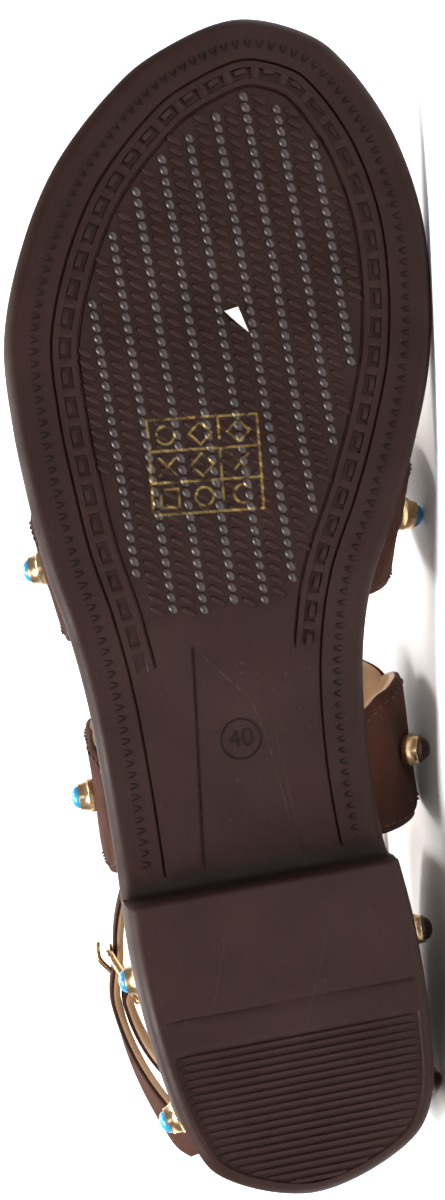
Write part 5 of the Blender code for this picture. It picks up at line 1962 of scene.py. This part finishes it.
def hole_cutters():
    """Short rods through the strap: a slot where the pin stands, and three holes along the free end.

    The first points of the path lie under the buckle too, in the strap's inner layer, and are passed over.
    """
    path, _ = ankle_path()
    travelled = np.concatenate([[0], np.cumsum(np.linalg.norm(np.diff(path, axis=0), axis=1))])
    pin = ankle_point(BAR_ANGLE + (FRONT_ANGLE - BAR_ANGLE) * PIN_HOLE, ANKLE_STRAP_THICKNESS)
    distance = np.linalg.norm(path - pin, axis=1)
    at = float(travelled[FIRST_TURN + np.argmin(distance[FIRST_TURN:])])
    rods = bmesh.new()
    for number in range(4):
        s = at + number * HOLE_PITCH
        here = np.array([np.interp(s, travelled, path[:, k]) for k in (0, 1)])
        ahead_point = np.array([np.interp(s + 0.5 * MM, travelled, path[:, k]) for k in (0, 1)])
        way = (ahead_point - here) / np.linalg.norm(ahead_point - here)
        out = Vector((way[1], -way[0], 0))
        stand = out.to_track_quat("Z", "Y").to_matrix().to_4x4()
        centre = leaning(here, ankle_z(here[1]))
        stretch = Matrix.Diagonal((1, SLOT_STRETCH if number == 0 else 1, 1, 1))
        bmesh.ops.create_cone(
            rods, cap_ends=True, segments=20, radius1=HOLE_RADIUS, radius2=HOLE_RADIUS,
            depth=SLOT_DEPTH if number == 0 else HOLE_DEPTH,
            matrix=TO_MODEL @ Matrix.Translation(centre) @ stand @ stretch,
        )
    mesh = bpy.data.meshes.new("hole_rods")
    rods.to_mesh(mesh)
    rods.free()
    made = bpy.data.objects.new("hole_rods", mesh)
    bpy.context.scene.collection.objects.link(made)
    return made


def with_holes(mesh):
    """The strap's mesh with its holes cut."""
    for finish in (brown_suede, tan_leather):
        mesh.materials.append(finish)
    body = bpy.data.objects.new("strap_blank", mesh)
    bpy.context.scene.collection.objects.link(body)
    rods = hole_cutters()
    away = body.modifiers.new("holes", "BOOLEAN")
    away.operation, away.solver, away.object = "DIFFERENCE", "EXACT", rods
    graph = bpy.context.evaluated_depsgraph_get()
    cut = bpy.data.meshes.new_from_object(body.evaluated_get(graph), depsgraph=graph)
    for item in (body, rods):
        bpy.data.objects.remove(item)
    return cut


as_piece(
    with_holes(build_ankle_strap()), "suede_ankle_strap", ["ankle_strap"],
    [brown_suede, tan_leather], sharp=50,
)

# %% [markdown]
# ## Keeper, buckle and pin
#
# The keeper is a short suede band round the strap, sewn to the tab at its two ends. The buckle is a
# rounded frame of gold wire with a pin that lies across it. Both are swept along short paths.

# %% Keeper on the tab
LOOP_HALF_WIDTH = 5 * MM
LOOP_WALL = 1.6 * MM
LOOP_FOOT = 3 * MM
LOOP_SEAT = 0.3 * MM


def build_keeper():
    """The band's section, rounded, carried from one side to the other with bulging rims."""
    centre = ankle_point(-math.pi / 2, 0)
    half = ANKLE_STRAP_WIDTH / 2 + CLEARANCE
    reach = ANKLE_STRAP_THICKNESS + CLEARANCE
    foot = half + LOOP_FOOT
    wall = LOOP_WALL
    outer = [(LOOP_SEAT, -foot), (LOOP_SEAT + 0.7 * wall, -foot), (LOOP_SEAT + wall, -foot + 0.5 * MM)]
    for angle in np.linspace(0, math.pi / 2, 6):
        outer.append((reach + wall * math.sin(angle), -half - wall * math.cos(angle)))
    for angle in np.linspace(math.pi / 2, math.pi, 6):
        outer.append((reach + wall * math.sin(angle), half - wall * math.cos(angle)))
    outer += [(LOOP_SEAT + wall, foot - 0.5 * MM), (LOOP_SEAT + 0.7 * wall, foot), (LOOP_SEAT, foot)]
    inner = [(LOOP_SEAT, half), (reach, half), (reach, -half), (LOOP_SEAT, -half)]
    section = outer + inner
    z = ankle_z(centre[1])
    middle = np.mean(section, axis=0)
    points = []
    for x, thin in ((-5.0, 0.93), (-4.7, 1.0), (0.0, 1.0), (4.7, 1.0), (5.0, 0.93)):
        side = x / 5.0 * LOOP_HALF_WIDTH
        for k, (out, rise) in enumerate(section):
            if k < len(outer) and out > reach:
                out = middle[0] + (out - middle[0]) * thin
            points.append(leaning((centre[0] + side, centre[1] - out), z + rise))
    count = len(section)
    faces = grid_faces(5, count, closed=True)
    faces += [tuple(range(count)), tuple(range(4 * count, 5 * count))]
    return closed_mesh("keeper", points, faces)


as_piece(build_keeper(), "suede_keeper", ["heel_loop"], [brown_suede], sharp=45)

# %% Buckle frame and pin
ASKEW = (0.3, 0.2, 0.93)
BUCKLE_CORNER = 1.5 * MM


def rod(points, radius, closed, corners=14):
    """A round rod along points of the shoe's frame."""
    points = np.array(points, float)
    along = np.roll(points, -1, 0) - np.roll(points, 1, 0)
    if not closed:
        along[0], along[-1] = points[1] - points[0], points[-1] - points[-2]
    along /= np.linalg.norm(along, axis=1)[:, None]
    normal = np.cross(along[0], ASKEW)
    rings = []
    for here, way in zip(points, along):
        normal = normal - way * normal.dot(way)
        normal /= np.linalg.norm(normal)
        side = np.cross(way, normal)
        turns = np.arange(corners) * 2 * math.pi / corners
        rings.append(here + radius * (np.cos(turns)[:, None] * normal + np.sin(turns)[:, None] * side))
    faces = grid_faces(len(rings), corners, closed=True)
    if closed:
        start = (len(rings) - 1) * corners
        shift = int(np.argmin(np.linalg.norm(rings[0] - rings[-1][0], axis=1)))
        for c in range(corners):
            d = (c + 1) % corners
            faces.append((start + c, start + d, (d + shift) % corners, (c + shift) % corners))
    else:
        end = (len(rings) - 1) * corners
        faces += [tuple(range(corners)), tuple(range(end, end + corners))]
    return np.vstack(rings), faces


def buckle_frame_path():
    rear = ankle_point(BAR_ANGLE, BAR_LEVEL)
    fore = ankle_point(FRONT_ANGLE, ANKLE_STRAP_THICKNESS + CLEARANCE + BUCKLE_WIRE / 2)
    z = (ankle_z(rear[1]) + ankle_z(fore[1])) / 2
    rear, fore = leaning(rear, z), leaning(fore, z)
    half = ANKLE_STRAP_WIDTH / 2 + 3 * CLEARANCE + BUCKLE_WIRE / 2
    corner = BUCKLE_CORNER
    size = float(np.linalg.norm(fore - rear))
    along = (fore - rear) / size
    path = []
    for cx, cz, start in (
        (size - corner, half - corner, 0), (corner, half - corner, 90),
        (corner, corner - half, 180), (size - corner, corner - half, 270),
    ):
        for angle in np.linspace(0, 90, 9):
            turned = math.radians(start + angle)
            rise = cz + corner * math.sin(turned)
            spot = rear + along * (cx + corner * math.cos(turned))
            path.append(spot + np.array((-UPPER_LEAN * rise, 0, rise)))
    return path, z


def on_pin(share):
    """Point of the pin at a share of the way from the bar to the frame's front."""
    level = smooth(PIN_PATH, 1, share) * ANKLE_STRAP_THICKNESS
    return leaning(ankle_point(BAR_ANGLE + (FRONT_ANGLE - BAR_ANGLE) * share, level), buckle_z)


frame_path, buckle_z = buckle_frame_path()
frame_mesh = closed_mesh("buckle_frame", *rod(frame_path, BUCKLE_WIRE / 2, closed=True))
as_piece(frame_mesh, "gold_buckle_frame", ["buckle_frame"], [gold_plate])
pin_path = [on_pin(share) for share in np.linspace(PIN_PATH[0][0], PIN_PATH[-1][0], 24)]
pin_mesh = closed_mesh("buckle_pin", *rod(pin_path, PIN_WIRE / 2, closed=False))
as_piece(pin_mesh, "gold_buckle_pin", ["buckle_pin"], [gold_plate])
